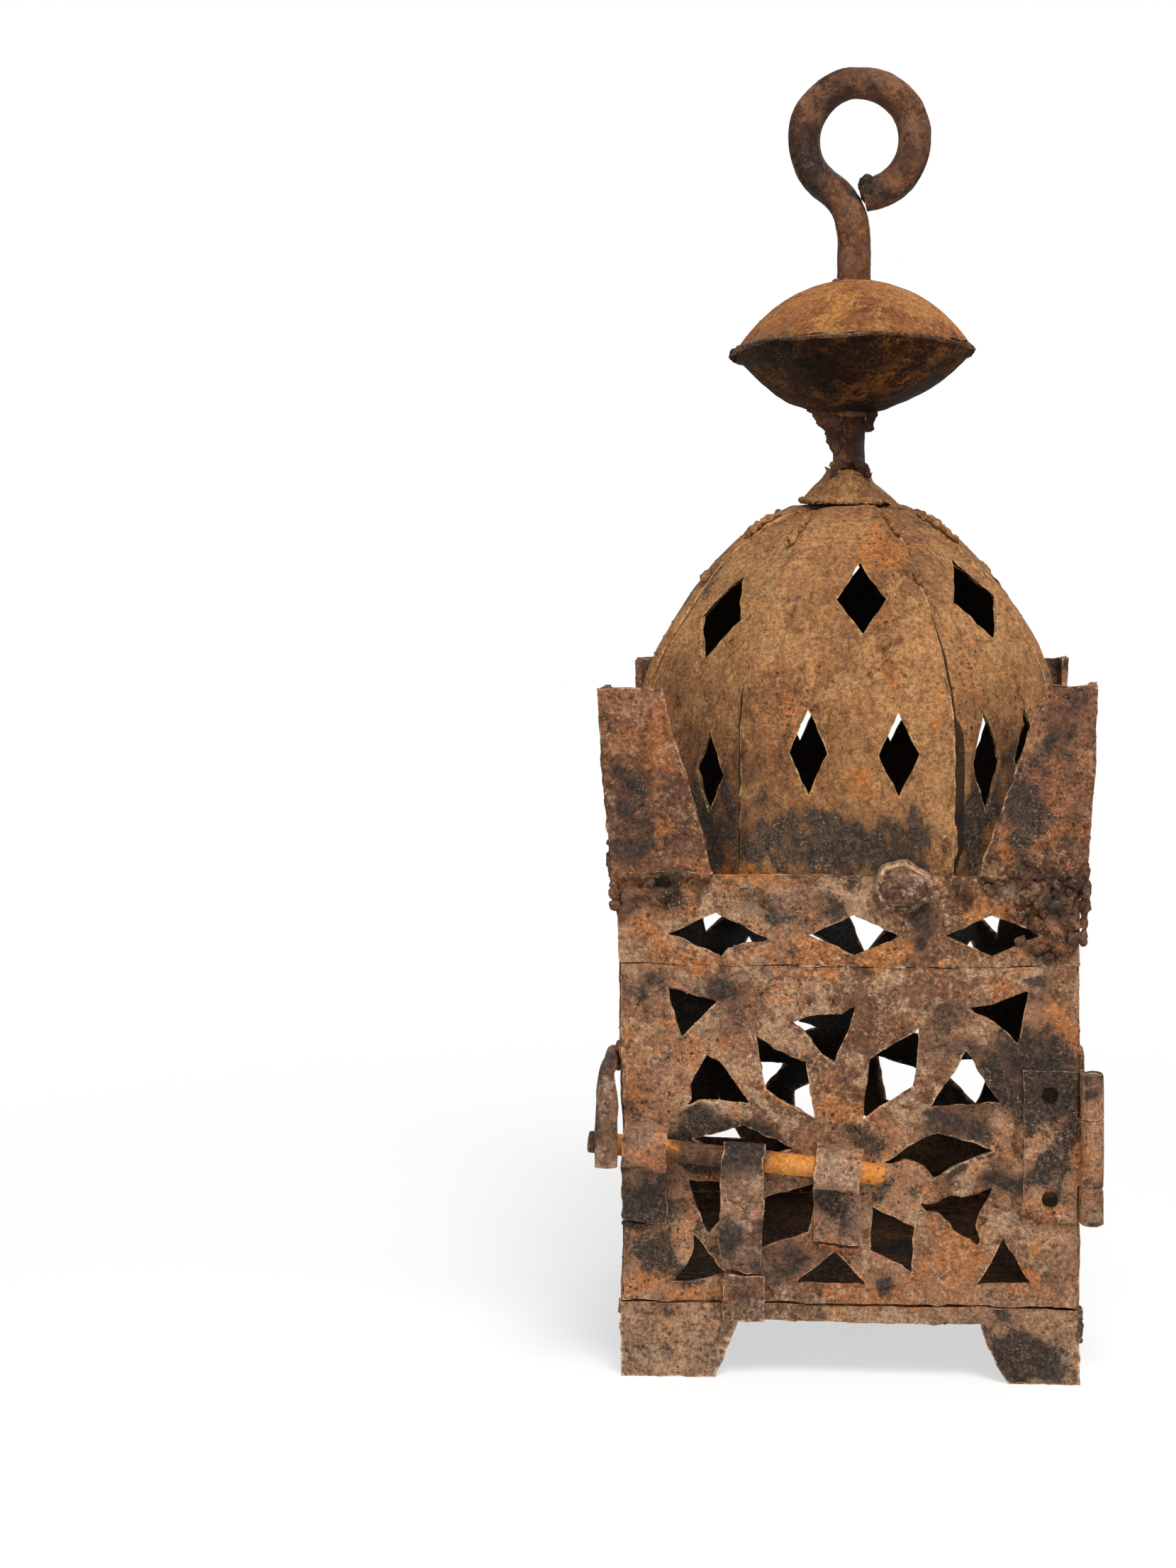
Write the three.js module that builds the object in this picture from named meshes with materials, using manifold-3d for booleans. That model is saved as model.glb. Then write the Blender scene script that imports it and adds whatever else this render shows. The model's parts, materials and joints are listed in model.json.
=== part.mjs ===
// Ceiling lantern of wrought iron: a square pierced body on four feet, a door with a sliding bolt,
// a dome of eight lapped petals with four corner turrets, and a bar with a hollow bulb and an eye.
// Millimetres and degrees. +Z is up, the door faces -Y, and the feet stand on z = 0.
import * as THREE from 'three';
import { mergeVertices } from 'three/addons/utils/BufferGeometryUtils.js';
import Module from 'manifold-3d';

const wasm = await Module();
wasm.setup();

// Gap left where pieces are welded or riveted, and where they move on each other
const weld_gap = 0.3;
const running_gap = 0.4;

// Body
const body_width = 200;
const body_height = 223.5;
const sheet = 2;
const door_bottom = 34.5;
const band_height = 39.9;
const door_gap = 1.2;
const foot_height = 26;
const foot_taper = 11;
const foot_width = 36;
const front_left_foot = 41;
const front_right_foot = 32;
const floor_height = 29;
const floor_sheet = 2;
const stop_width = 18;
const stop_sheet = 2.5;
const stop_top = 46.6;
const stop_foot = 26.4;

// Row of lying diamonds in the band over the door
const band_diamond_width = 41;
const band_diamond_height = 18;
const band_diamond_pitch = 60;
const band_diamond_shift = 3;
const band_diamond_drop = 26;

// Rosette in the door and, higher up, in the walls, in shares of half the body's width. Each opening has
// its angle, its inner and outer reach and its width.
const rosette_shift = -3;
const rosette_drop = 8.75;
const wall_rosette_rise = 8;
const rosette_rise_share = 0.7455;
const rosette_petals = [
  [3, 0.197, 0.66, 0.17],
  [59, 0.195, 0.664, 0.22],
  [125, 0.19, 0.635, 0.21],
  [175, 0.21, 0.648, 0.17],
  [229, 0.16, 0.56, 0.24],
  [301, 0.265, 0.595, 0.22],
];
const rosette_wedges = [
  [30, 0.448, 0.71, 0.28],
  [96, 0.396, 0.628, 0.275],
  [151, 0.45, 0.72, 0.27],
  [201, 0.4, 0.68, 0.25],
  [266, 0.42, 0.573, 0.29],
  [335, 0.4, 0.655, 0.25],
];
// Corner triangles of the rosette: angle and reach of the middle, and the way that one tip points
const corner_triangle_share = 0.23;
const corner_triangles = [
  [41, 0.957, 47],
  [136, 0.917, 135],
  [218, 0.802, 98],
  [325, 0.86, 92],
];

// Corner turrets
const turret_sheet = 3;
const turret_height = 82;
const turret_foot = 42.3;
const turret_flare = 2.5;
// Each top was cut to its own width. Round from the front left corner
const turret_tops = [24.7, 18.6, 21, 22.5];

// Dome: its outline runs from the foot to the mouth, in shares of the way in and of the way up
const petal_sheet = 1.6;
const petal_crown = 1.5;
const petal_lap = 2;
const petal_half_angle = 25.5;
const petal_rows = 14;
const petal_columns = 6;
const dome_foot_depth = 11.5;
const dome_height = 172.6;
const dome_mouth = 22;
const dome_outline = [
  [0, 0],
  [0, 0.197],
  [0.006, 0.336],
  [0.023, 0.4635],
  [0.069, 0.562],
  [0.15, 0.649],
  [0.248, 0.724],
  [0.363, 0.808],
  [0.496, 0.881],
  [0.646, 0.944],
  [0.784, 0.982],
  [0.9, 0.9954],
  [1, 1],
];
const upper_diamond_width = 21.4;
const upper_diamond_height = 29;
const upper_diamond_middle = 130;
const lower_diamond_width = 17.4;
const lower_diamond_height = 37;
const lower_diamond_middle = 63;
const wide_petal_pitch = 40;
const narrow_petal_pitch = 26;
// How each petal's upper diamond came out by hand, round from the front: off the middle, raised, wider
// and taller
const upper_diamond_cuts = [
  [7, 0, 1, 0],
  [7, -1.5, 8, 7],
  [-3, 0, 0, 0],
  [8, 6, 0, 0],
  [6, 10, 0, 0],
  [-6, 8, 0, 0],
  [-5, 0, 0, 0],
  [-5, -8.5, 5.5, 9],
];
// The same for the lower pair: the left one and the right one off their places, both raised, both taller
const lower_diamond_cuts = [
  [3.3, 2.5, 1, 0],
  [0, 0, -4.5, 8],
  [0, 0, 0, 0],
  [0, 0, 0, 0],
  [0, 5, 8, 0],
  [0, 0, 0, 0],
  [0, 0, 0, 0],
  [0, 0, -8.5, 0],
];

// Hanging bar, bulb and collar, in heights above the dome's top
const bar_width = 15.5;
const bar_lean = 1.6;
const bar_tail = 10;
const neck_height = 120.4;
const neck_bend = 31.5;
const neck_turn = 55;
const eye_width = 36;
const eye_end = -84;
const bulb_width = 111;
const bulb_sheet = 2;
const bulb_height = 68.7;
const bulb_rise = 33;
const bulb_drop = 28.5;
const bulb_tilt = 7;
const bulb_upper_power = 2.4;
const bulb_lower_power = 1.9;
const collar_width = 40;
const collar_height = 13.5;
const collar_sheet = 2;

// Hinge
const hinge_sheet = 2;
const barrel_width = 10;
const pin_width = 5.4;
const hinge_height = 66;
const hinge_middle = 105.7;
const top_knuckle = 20;
const bottom_knuckle = 15.5;
const leaf_width = 22.6;
const wall_leaf_rise = 7;
const rivet_head = 7.2;
const rivet_head_height = 1.8;
const rivet_shank = 4;
const rivet_tail = 6;
const rivet_tail_height = 1.2;
const rivet_spread = 46;

// Bolt
const bolt_width = 9.5;
const bolt_tilt = 5.65;
const bolt_height = 99.7;
const bolt_overhang = 13.2;
const bolt_right = 62;
const strap_inset = 54.5;
const strap_width = 18.3;
const strap_sheet = 1.8;
const strap_drop = 51;
const strap_lean = 12.5;
const strap_skew = 4.2;
const strap_curl = 290;
const guide_sheet = 2.2;
const guide_height = 18.8;
const guide_tail = 24;
const guide_bend = 5;
const guide_foot_bend = 2.2;
const left_guide_reach = 43.8;
const left_guide_width = 19.2;
const right_guide_reach = 41.7;
const right_guide_width = 19.9;
const hook_width = 7.2;
const hook_reach = 2.4;
const hook_height = 141;
const hook_drop = 46;
const hook_depth = 18;
// The hook's bends, in shares of its way outward, forward and down
const hook_bends = [
  [0, 0, 0],
  [0, 0.35, 0.02],
  [0.4, 0.735, 0.1],
  [0.8, 0.95, 0.28],
  [1, 1, 0.54],
  [1, 1, 1],
];
const boss_width = 21;
const boss_height = 5;
const boss_x = 24.2;
const boss_drop = 4;

// Places worked out from the sizes
const half = body_width / 2;
const inner_half = half - sheet;
const outer_face = half + weld_gap;
const door_top = body_height - band_height;
const door_middle = (door_bottom + door_top) / 2;
const skirt_top = door_bottom - door_gap;
const dome_foot = body_height - dome_foot_depth;
const dome_radius = inner_half - weld_gap;
const dome_top = dome_foot + dome_height;
const barrel_radius = barrel_width / 2;
const pin_radius = pin_width / 2;
const knuckle_bore = pin_radius + weld_gap;
const hinge_x = outer_face + barrel_radius;
const hinge_y = -hinge_x;
const leaf_edge = hinge_x - half + door_gap;
const rivet_x = leaf_edge + leaf_width / 2;
const strap_x = strap_inset - half;
const rod_radius = bolt_width / 2;
const strap_bore = rod_radius + weld_gap;
const rod_stand = strap_bore + strap_sheet + running_gap;
const rod_y = -half - rod_stand;

const degrees = THREE.MathUtils.degToRad;
const bolt_left = (strap_inset + bolt_overhang) / Math.cos(degrees(bolt_tilt));

function point(x, y) {
  return new THREE.Vector2(x, y);
}

function polar(radius, angle) {
  return point(radius * Math.cos(degrees(angle)), radius * Math.sin(degrees(angle)));
}

// Solids

function to_solid(geometry) {
  const bare = geometry.clone();
  bare.deleteAttribute('normal');
  bare.deleteAttribute('uv');
  const merged = mergeVertices(bare, 1e-4);
  return new wasm.Manifold(
    new wasm.Mesh({
      numProp: 3,
      vertProperties: new Float32Array(merged.attributes.position.array),
      triVerts: new Uint32Array(merged.index.array),
    }),
  );
}

function to_geometry(solid) {
  const mesh = solid.getMesh();
  const geometry = new THREE.BufferGeometry();
  geometry.setAttribute('position', new THREE.BufferAttribute(mesh.vertProperties, 3));
  geometry.setIndex(new THREE.BufferAttribute(mesh.triVerts, 1));
  geometry.computeVertexNormals();
  return geometry;
}

function join(geometries) {
  return to_geometry(geometries.map(to_solid).reduce((whole, next) => whole.add(next)));
}

function cut(geometry, tools) {
  return to_geometry(tools.map(to_solid).reduce((whole, tool) => whole.subtract(tool), to_solid(geometry)));
}

function extrude(shape, depth) {
  return new THREE.ExtrudeGeometry(shape, { depth, bevelEnabled: false, curveSegments: 6 });
}

// A sheet whose outline is seen from the front: x right and y up, with its back at y = 0.
function upright(shape, thickness) {
  const right = new THREE.Vector3(1, 0, 0);
  const up = new THREE.Vector3(0, 0, 1);
  const front = new THREE.Vector3(0, -1, 0);
  return extrude(shape, thickness).applyMatrix4(new THREE.Matrix4().makeBasis(right, up, front));
}

// A strip whose outline is seen from the side: x out to the front and y up, centred on x = 0.
function sideways(shape, width) {
  const front = new THREE.Vector3(0, -1, 0);
  const up = new THREE.Vector3(0, 0, 1);
  const left = new THREE.Vector3(-1, 0, 0);
  const strip = extrude(shape, width).translate(0, 0, -width / 2);
  return strip.applyMatrix4(new THREE.Matrix4().makeBasis(front, up, left));
}

// A solid turned about the vertical axis. Its profile runs up on the outer side.
function turned(profile, segments) {
  return new THREE.LatheGeometry(profile, segments).rotateX(Math.PI / 2);
}

function box(left, right, front, back, bottom, top) {
  const solid = new THREE.BoxGeometry(right - left, back - front, top - bottom);
  return solid.translate((left + right) / 2, (front + back) / 2, (bottom + top) / 2);
}

function rectangle(left, right, bottom, top) {
  return [point(left, bottom), point(right, bottom), point(right, top), point(left, top)];
}

function circle(x, y, radius) {
  return new THREE.Path().absarc(x, y, radius, 0, 2 * Math.PI, true);
}

function pierced(points, holes) {
  const shape = new THREE.Shape(points);
  shape.holes.push(...holes);
  return shape;
}

// Outline of a strip bent along a path, half its thickness to each side.
function bent_strip(path, thickness) {
  const line = path.getPoints(5).filter((p, i, all) => i === 0 || p.distanceTo(all[i - 1]) > 1e-6);
  const side = (offset) =>
    line.map((p, i) => {
      const before = line[Math.max(i - 1, 0)];
      const after = line[Math.min(i + 1, line.length - 1)];
      const normal = point(before.y - after.y, after.x - before.x).normalize();
      return p.clone().addScaledVector(normal, offset);
    });
  return new THREE.Shape([...side(-thickness / 2), ...side(thickness / 2).reverse()]);
}

// A round bar along a curve.
function bar_along(curve, radius, steps, sides) {
  const section = new THREE.Shape().absarc(0, 0, radius, 0, 2 * Math.PI);
  return new THREE.ExtrudeGeometry(section, { extrudePath: curve, steps, curveSegments: sides / 2 });
}

// Cut-outs

function diamond(x, y, width, height) {
  return [
    point(x - width / 2, y),
    point(x, y - height / 2),
    point(x + width / 2, y),
    point(x, y + height / 2),
  ];
}

function band_row() {
  const middles = [-1, 0, 1].map((step) => band_diamond_shift + step * band_diamond_pitch);
  const height = body_height - band_diamond_drop;
  return middles.map((x) => diamond(x, height, band_diamond_width, band_diamond_height));
}

function rosette(rise) {
  const centre = point(rosette_shift, door_middle + rise);
  const stretch = point(half, (door_top - door_bottom) / 2 / rosette_rise_share);
  const petals = rosette_petals.map(([angle, inner, outer, width]) => {
    const side = polar(width / 2, angle + 90);
    const middle = polar((inner + outer) / 2, angle);
    return [polar(inner, angle), middle.clone().sub(side), polar(outer, angle), middle.clone().add(side)];
  });
  const wedges = rosette_wedges.map(([angle, inner, outer, width]) => {
    const side = polar(width / 2, angle + 90);
    const base = polar(outer, angle);
    return [polar(inner, angle), base.clone().sub(side), base.clone().add(side)];
  });
  const corners = corner_triangles.map(([angle, reach, tip]) => {
    const middle = polar(reach, angle);
    const radius = corner_triangle_share / Math.sqrt(3);
    return [0, 120, 240].map((step) => middle.clone().add(polar(radius, tip + step)));
  });
  return [...petals, ...wedges, ...corners].map((hole) => hole.map((p) => p.multiply(stretch).add(centre)));
}

function as_paths(holes) {
  return holes.map((hole) => new THREE.Path(hole));
}

// Sheets of the body

// The foot strip of one side, cut away between its two feet.
function skirt(reach, left_foot, right_foot) {
  const points = [
    point(-reach, 0),
    point(-reach + left_foot, 0),
    point(-reach + left_foot + foot_taper, foot_height),
    point(reach - right_foot - foot_taper, foot_height),
    point(reach - right_foot, 0),
    point(reach, 0),
    point(reach, skirt_top),
    point(-reach, skirt_top),
  ];
  return upright(new THREE.Shape(points), sheet);
}

function wall(reach, extra_holes) {
  const points = rectangle(-reach, reach, skirt_top + weld_gap, body_height);
  const cut_outs = as_paths([...band_row(), ...rosette(wall_rosette_rise)]);
  return upright(pierced(points, [...cut_outs, ...extra_holes]), sheet);
}

function front_band() {
  const points = rectangle(-half, half, door_top + door_gap, body_height);
  return upright(pierced(points, as_paths(band_row())), sheet);
}

function floor_plate() {
  const reach = inner_half - weld_gap;
  return box(-reach, reach, -reach, reach, floor_height, floor_height + floor_sheet);
}

// One leg of a turret, seen from the front, with its outer edge at x = 0.
function turret_leg(direction, outer_edge, top) {
  const lean = turret_height * Math.tan(degrees(turret_flare));
  const points = [
    point(direction * -outer_edge, 0),
    point(direction * turret_foot, 0),
    point(direction * (top - lean), turret_height),
    point(direction * -(outer_edge + lean), turret_height),
  ];
  const outward = new THREE.Matrix4().makeShear(0, 0, 0, 0, 0, -lean / turret_height);
  return upright(new THREE.Shape(points), turret_sheet).applyMatrix4(outward);
}

// A corner plate folded to an L round the front left corner at the origin.
function corner_turret(top) {
  const front = turret_leg(1, turret_sheet, top);
  const side = turret_leg(-1, turret_sheet / 2, top).rotateZ(-Math.PI / 2);
  return join([front, side]);
}

function band_boss() {
  const radius = boss_width / 2;
  const profile = [
    point(0, 0),
    point(radius, 0),
    point(0.97 * radius, 0.35 * boss_height),
    point(0.8 * radius, 0.62 * boss_height),
    point(0.66 * radius, 0.5 * boss_height),
    point(0.45 * radius, 0.85 * boss_height),
    point(0, boss_height),
  ];
  return turned(profile, 20).rotateX(Math.PI / 2);
}

// Dome

const dome_curve = new THREE.SplineCurve(
  dome_outline.map(([inward, upward]) =>
    point(THREE.MathUtils.lerp(dome_radius, dome_mouth / 2, inward), dome_foot + upward * dome_height),
  ),
);

// Point of the dome's outline at a share of its length, moved inward square to it.
function dome_point(share, inward) {
  const p = dome_curve.getPointAt(share);
  const tangent = dome_curve.getTangentAt(share);
  return point(p.x - tangent.y * inward, p.y + tangent.x * inward);
}

// How far a petal's edges lie behind its middle. It fades as the petal narrows to the top.
function crown(share) {
  return (petal_crown * dome_curve.getPointAt(share).x) / dome_radius;
}

// The line where a wide petal laps over its narrow neighbours, on the narrow ones' outer face.
function seam_point(share) {
  return dome_point(share, crown(share) + petal_sheet + weld_gap);
}

function wide_petal_point(share, side, depth) {
  const p = dome_point(share, crown(share) * side * side + depth);
  const reach = seam_point(share).x * Math.tan(degrees(petal_half_angle)) + petal_lap;
  return [side * reach, -p.x, p.y];
}

function narrow_petal_point(share, side, depth) {
  const half_angle = degrees(45 - petal_half_angle);
  const seam = seam_point(share);
  const corner = seam.x / Math.cos(degrees(petal_half_angle));
  const edge = dome_point(share, crown(share));
  const p = dome_point(share, crown(share) * side * side + depth);
  const reach = corner * Math.sin(half_angle) - weld_gap;
  return [side * reach, -(corner * Math.cos(half_angle) + p.x - edge.x), seam.y + p.y - edge.y];
}

// A closed sheet between an outer and an inner grid of points, seen from the front.
function grid_sheet(rows, columns, thickness, place) {
  const positions = [];
  const faces = [];
  const id = (row, column, layer) => (layer * (rows + 1) + row) * (columns + 1) + column;
  const quad = (a, b, c, d) => faces.push(a, b, c, a, c, d);
  for (let layer = 0; layer < 2; layer++) {
    for (let row = 0; row <= rows; row++) {
      for (let column = 0; column <= columns; column++) {
        positions.push(...place(row / rows, (2 * column) / columns - 1, layer * thickness));
      }
    }
  }
  for (let row = 0; row < rows; row++) {
    for (let column = 0; column < columns; column++) {
      const corners = [
        [row, column],
        [row, column + 1],
        [row + 1, column + 1],
        [row + 1, column],
      ];
      quad(...corners.map(([r, c]) => id(r, c, 0)));
      quad(...corners.reverse().map(([r, c]) => id(r, c, 1)));
    }
    quad(id(row, 0, 1), id(row, 0, 0), id(row + 1, 0, 0), id(row + 1, 0, 1));
    quad(id(row, columns, 0), id(row, columns, 1), id(row + 1, columns, 1), id(row + 1, columns, 0));
  }
  for (let column = 0; column < columns; column++) {
    quad(id(0, column, 1), id(0, column + 1, 1), id(0, column + 1, 0), id(0, column, 0));
    quad(id(rows, column, 0), id(rows, column + 1, 0), id(rows, column + 1, 1), id(rows, column, 1));
  }
  const geometry = new THREE.BufferGeometry();
  geometry.setAttribute('position', new THREE.Float32BufferAttribute(positions, 3));
  geometry.setIndex(faces);
  return geometry;
}

function petal(place, pitch, upper_cut, lower_cut) {
  const [off, raised, wider, taller] = upper_cut;
  const [left_off, right_off, pair_raised, pair_taller] = lower_cut;
  const upper_middle = dome_foot + upper_diamond_middle + raised;
  const lower_middle = dome_foot + lower_diamond_middle + pair_raised;
  const lower_height = lower_diamond_height + pair_taller;
  const holes = [
    diamond(off, upper_middle, upper_diamond_width + wider, upper_diamond_height + taller),
    diamond(left_off - pitch / 2, lower_middle, lower_diamond_width, lower_height),
    diamond(right_off + pitch / 2, lower_middle, lower_diamond_width, lower_height),
  ];
  const tools = holes.map((hole) => upright(new THREE.Shape(hole), body_width));
  return cut(grid_sheet(petal_rows, petal_columns, petal_sheet, place), tools);
}

// Hanging bar, bulb and collar, standing on the dome's top

function hanging_bar() {
  const eye_radius = (eye_width + bar_width) / 2;
  const turn = degrees(neck_turn);
  const start = Math.PI + turn;
  const eye_x = -neck_bend * (1 - Math.cos(turn)) - eye_radius * Math.cos(start);
  const eye_y = neck_height + neck_bend * Math.sin(turn) - eye_radius * Math.sin(start);
  const flat = new THREE.Path()
    .moveTo(0, -bar_tail)
    .lineTo(0, neck_height)
    .absarc(-neck_bend, neck_height, neck_bend, 0, turn, false)
    .absarc(eye_x, eye_y, eye_radius, start, degrees(eye_end), true);
  const route = flat.getSpacedPoints(60).map((p) => new THREE.Vector3(p.x, 0, p.y));
  return bar_along(new THREE.CatmullRomCurve3(route), bar_width / 2, 60, 14);
}

// One half of the bulb, open downward: its height falls off with a power of the radius.
function bulb_half(height, power, flip) {
  const radius = bulb_width / 2;
  const shell = (wide, high) =>
    [...Array(10).keys()].map((i) => {
      const share = Math.sin((i / 9) * (Math.PI / 2));
      return point(wide * share, high * (1 - share ** power));
    });
  const inner = shell(radius - bulb_sheet, height - bulb_sheet);
  const outer = shell(radius, height).reverse();
  const bore = turned(
    [
      point(0, -height),
      point(bar_width / 2 + weld_gap, -height),
      point(bar_width / 2 + weld_gap, 2 * height),
      point(0, 2 * height),
    ],
    20,
  );
  const dish = turned([...inner, ...outer], 32).translate(0, 0, weld_gap / 2);
  const turn = flip ? Math.PI : 0;
  return cut(dish.rotateX(turn - degrees(bulb_tilt)), [bore.rotateX(turn)]);
}

function dome_collar() {
  const bore = bar_width / 2 + weld_gap;
  const base = collar_width / 2;
  const steps = 6;
  const flare = (offset) =>
    [...Array(steps + 1).keys()].map((i) => {
      const share = i / steps;
      return point(offset + bore + (base - collar_sheet - bore) * (1 - share) ** 2, collar_height * share);
    });
  const profile = [...flare(collar_sheet), ...flare(0).reverse()];
  return turned([...profile, profile[0].clone()], 24);
}

// Hinge, about its pin: the leaf's plate lies to the left, on the side away from the barrel's front

function hinge_leaf(bottom, top, knuckles) {
  const left = -leaf_edge - leaf_width;
  const holes = [-1, 1].map((side) => circle(-rivet_x, (side * rivet_spread) / 2, rivet_shank / 2 + weld_gap));
  const plate = upright(pierced(rectangle(left, -leaf_edge, bottom, top), holes), hinge_sheet);
  const necks = knuckles.map(([low, high]) =>
    box(-leaf_edge - 1, -barrel_radius / 4, barrel_radius - hinge_sheet, barrel_radius, low, high),
  );
  const barrels = knuckles.map(([low, high]) => {
    const ring = new THREE.Shape().absarc(0, 0, barrel_radius, 0, 2 * Math.PI);
    ring.holes.push(circle(0, 0, knuckle_bore));
    return extrude(ring, high - low).translate(0, 0, low);
  });
  return join([plate.translate(0, barrel_radius, 0), ...necks, ...barrels]);
}

function rod(radius, length, sides) {
  const rim = 0.15 * radius;
  const profile = [
    point(0, 0),
    point(radius - rim, 0),
    point(radius, rim),
    point(radius, length - rim),
    point(radius - rim, length),
    point(0, length),
  ];
  return turned(profile, sides);
}

// A rivet through a leaf and its sheet, head to the front and its back at y = 0.
function rivet() {
  const grip = rivet_tail_height + sheet + hinge_sheet + 3 * weld_gap;
  const profile = [
    point(0, 0),
    point(0.4 * rivet_tail, 0),
    point(rivet_tail / 2, rivet_tail_height),
    point(rivet_shank / 2, rivet_tail_height),
    point(rivet_shank / 2, grip),
    point(rivet_head / 2, grip),
    point(0.42 * rivet_head, grip + 0.6 * rivet_head_height),
    point(0.22 * rivet_head, grip + 0.93 * rivet_head_height),
    point(0, grip + rivet_head_height),
  ];
  return turned(profile, 12).rotateX(Math.PI / 2);
}

// Bolt, about the middle of its rod under the strap

function bolt_strap() {
  const middle = strap_bore + strap_sheet / 2;
  const path = new THREE.Path()
    .moveTo(middle, -strap_drop)
    .lineTo(middle, 0)
    .absarc(0, 0, middle, 0, degrees(strap_curl), false);
  const geometry = sideways(bent_strip(path, strap_sheet), strap_width);
  const position = geometry.attributes.position;
  for (let i = 0; i < position.count; i++) {
    const below = Math.max(0, -position.getZ(i));
    position.setX(i, position.getX(i) + below * Math.tan(degrees(strap_skew)));
  }
  return geometry;
}

function bolt_guide(width) {
  const back = weld_gap - rod_stand;
  const front = rod_radius + running_gap + guide_sheet / 2;
  const rise = (guide_height - guide_sheet) / 2;
  const foot = back + guide_sheet / 2;
  const path = new THREE.Path()
    .moveTo(back, rise)
    .lineTo(front - guide_bend, rise)
    .absarc(front - guide_bend, rise - guide_bend, guide_bend, Math.PI / 2, 0, true)
    .lineTo(front, guide_bend - rise)
    .absarc(front - guide_bend, guide_bend - rise, guide_bend, 0, -Math.PI / 2, true)
    .lineTo(foot + guide_foot_bend, -rise)
    .absarc(foot + guide_foot_bend, -rise - guide_foot_bend, guide_foot_bend, Math.PI / 2, Math.PI, false)
    .lineTo(foot, -rise - guide_foot_bend - guide_tail);
  return sideways(bent_strip(path, guide_sheet), width);
}

// The hook runs forward along the left wall and down in front of the bolt's end.
function bolt_hook() {
  const radius = hook_width / 2;
  const start = new THREE.Vector3(-outer_face - radius, hook_depth - half, hook_height);
  const forward = start.y - (rod_y - rod_radius - running_gap - radius);
  const points = hook_bends.map(([out, along, down]) =>
    start.clone().add(new THREE.Vector3(-out * hook_reach, -along * forward, -down * hook_drop)),
  );
  return bar_along(new THREE.CatmullRomCurve3(points), radius, 24, 10);
}

// Assembly

const finishes = {
  rust: { color: 0x9a6b46, roughness: 0.9, metalness: 0.25 },
  brown_rust: { color: 0x86604a, roughness: 0.88, metalness: 0.25 },
  dark_iron: { color: 0x4b3a32, roughness: 0.7, metalness: 0.45 },
  worn_iron: { color: 0xc9792f, roughness: 0.55, metalness: 0.35 },
};

const lantern = new THREE.Group();

function add(name, geometry, finish, parent = lantern) {
  const mesh = new THREE.Mesh(geometry, new THREE.MeshStandardMaterial(finishes[finish]));
  mesh.name = name;
  parent.add(mesh);
  return mesh;
}

// A group that turns a piece made for the front to another side of the body.
function side_group(angle) {
  const group = new THREE.Group();
  group.rotation.z = degrees(angle);
  lantern.add(group);
  return group;
}

function add_body() {
  const side_reach = inner_half - weld_gap;
  const rivet_holes = [-1, 1].map((side) =>
    circle(rivet_x - hinge_x, hinge_middle + (side * rivet_spread) / 2, rivet_shank / 2 + weld_gap),
  );
  const face = (name, geometry, angle) => {
    add(name, geometry, 'brown_rust', side_group(angle)).position.set(0, -inner_half, 0);
  };
  face('front_band', front_band(), 0);
  face('front_skirt', skirt(half, front_left_foot, front_right_foot), 0);
  face('right_wall', wall(side_reach, rivet_holes), 90);
  face('right_skirt', skirt(side_reach, foot_width, foot_width), 90);
  face('back_wall', wall(half, []), 180);
  face('back_skirt', skirt(half, foot_width, foot_width), 180);
  face('left_wall', wall(side_reach, []), -90);
  face('left_skirt', skirt(side_reach, foot_width, foot_width), -90);
  add('floor_plate', floor_plate(), 'brown_rust');
  const corners = ['front_left', 'front_right', 'back_right', 'back_left'];
  corners.forEach((corner, i) => {
    const mesh = add(`${corner}_turret`, corner_turret(turret_tops[i]), 'rust', side_group(90 * i));
    mesh.position.set(-outer_face, -outer_face, body_height + weld_gap / 2);
  });
  const lump = add('band_boss', band_boss(), 'rust');
  lump.position.set(boss_x, -outer_face, body_height - boss_drop);
}

function add_dome() {
  const sides = ['front', 'front_right', 'right', 'back_right', 'back', 'back_left', 'left', 'front_left'];
  sides.forEach((side, i) => {
    const wide = i % 2 === 0;
    const place = wide ? wide_petal_point : narrow_petal_point;
    const pitch = wide ? wide_petal_pitch : narrow_petal_pitch;
    const sheet_cut = petal(place, pitch, upper_diamond_cuts[i], lower_diamond_cuts[i]);
    add(`${side}_petal`, sheet_cut, 'rust', side_group(45 * i));
  });
}

function add_finial() {
  const finial = new THREE.Group();
  finial.position.z = dome_top;
  finial.rotation.y = degrees(bar_lean);
  lantern.add(finial);
  add('hanging_bar', hanging_bar(), 'dark_iron', finial);
  add('dome_collar', dome_collar(), 'rust', finial).position.z = weld_gap;
  add('bulb_upper', bulb_half(bulb_rise, bulb_upper_power, false), 'rust', finial).position.z = bulb_height;
  add('bulb_lower', bulb_half(bulb_drop, bulb_lower_power, true), 'rust', finial).position.z = bulb_height;
}

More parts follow.
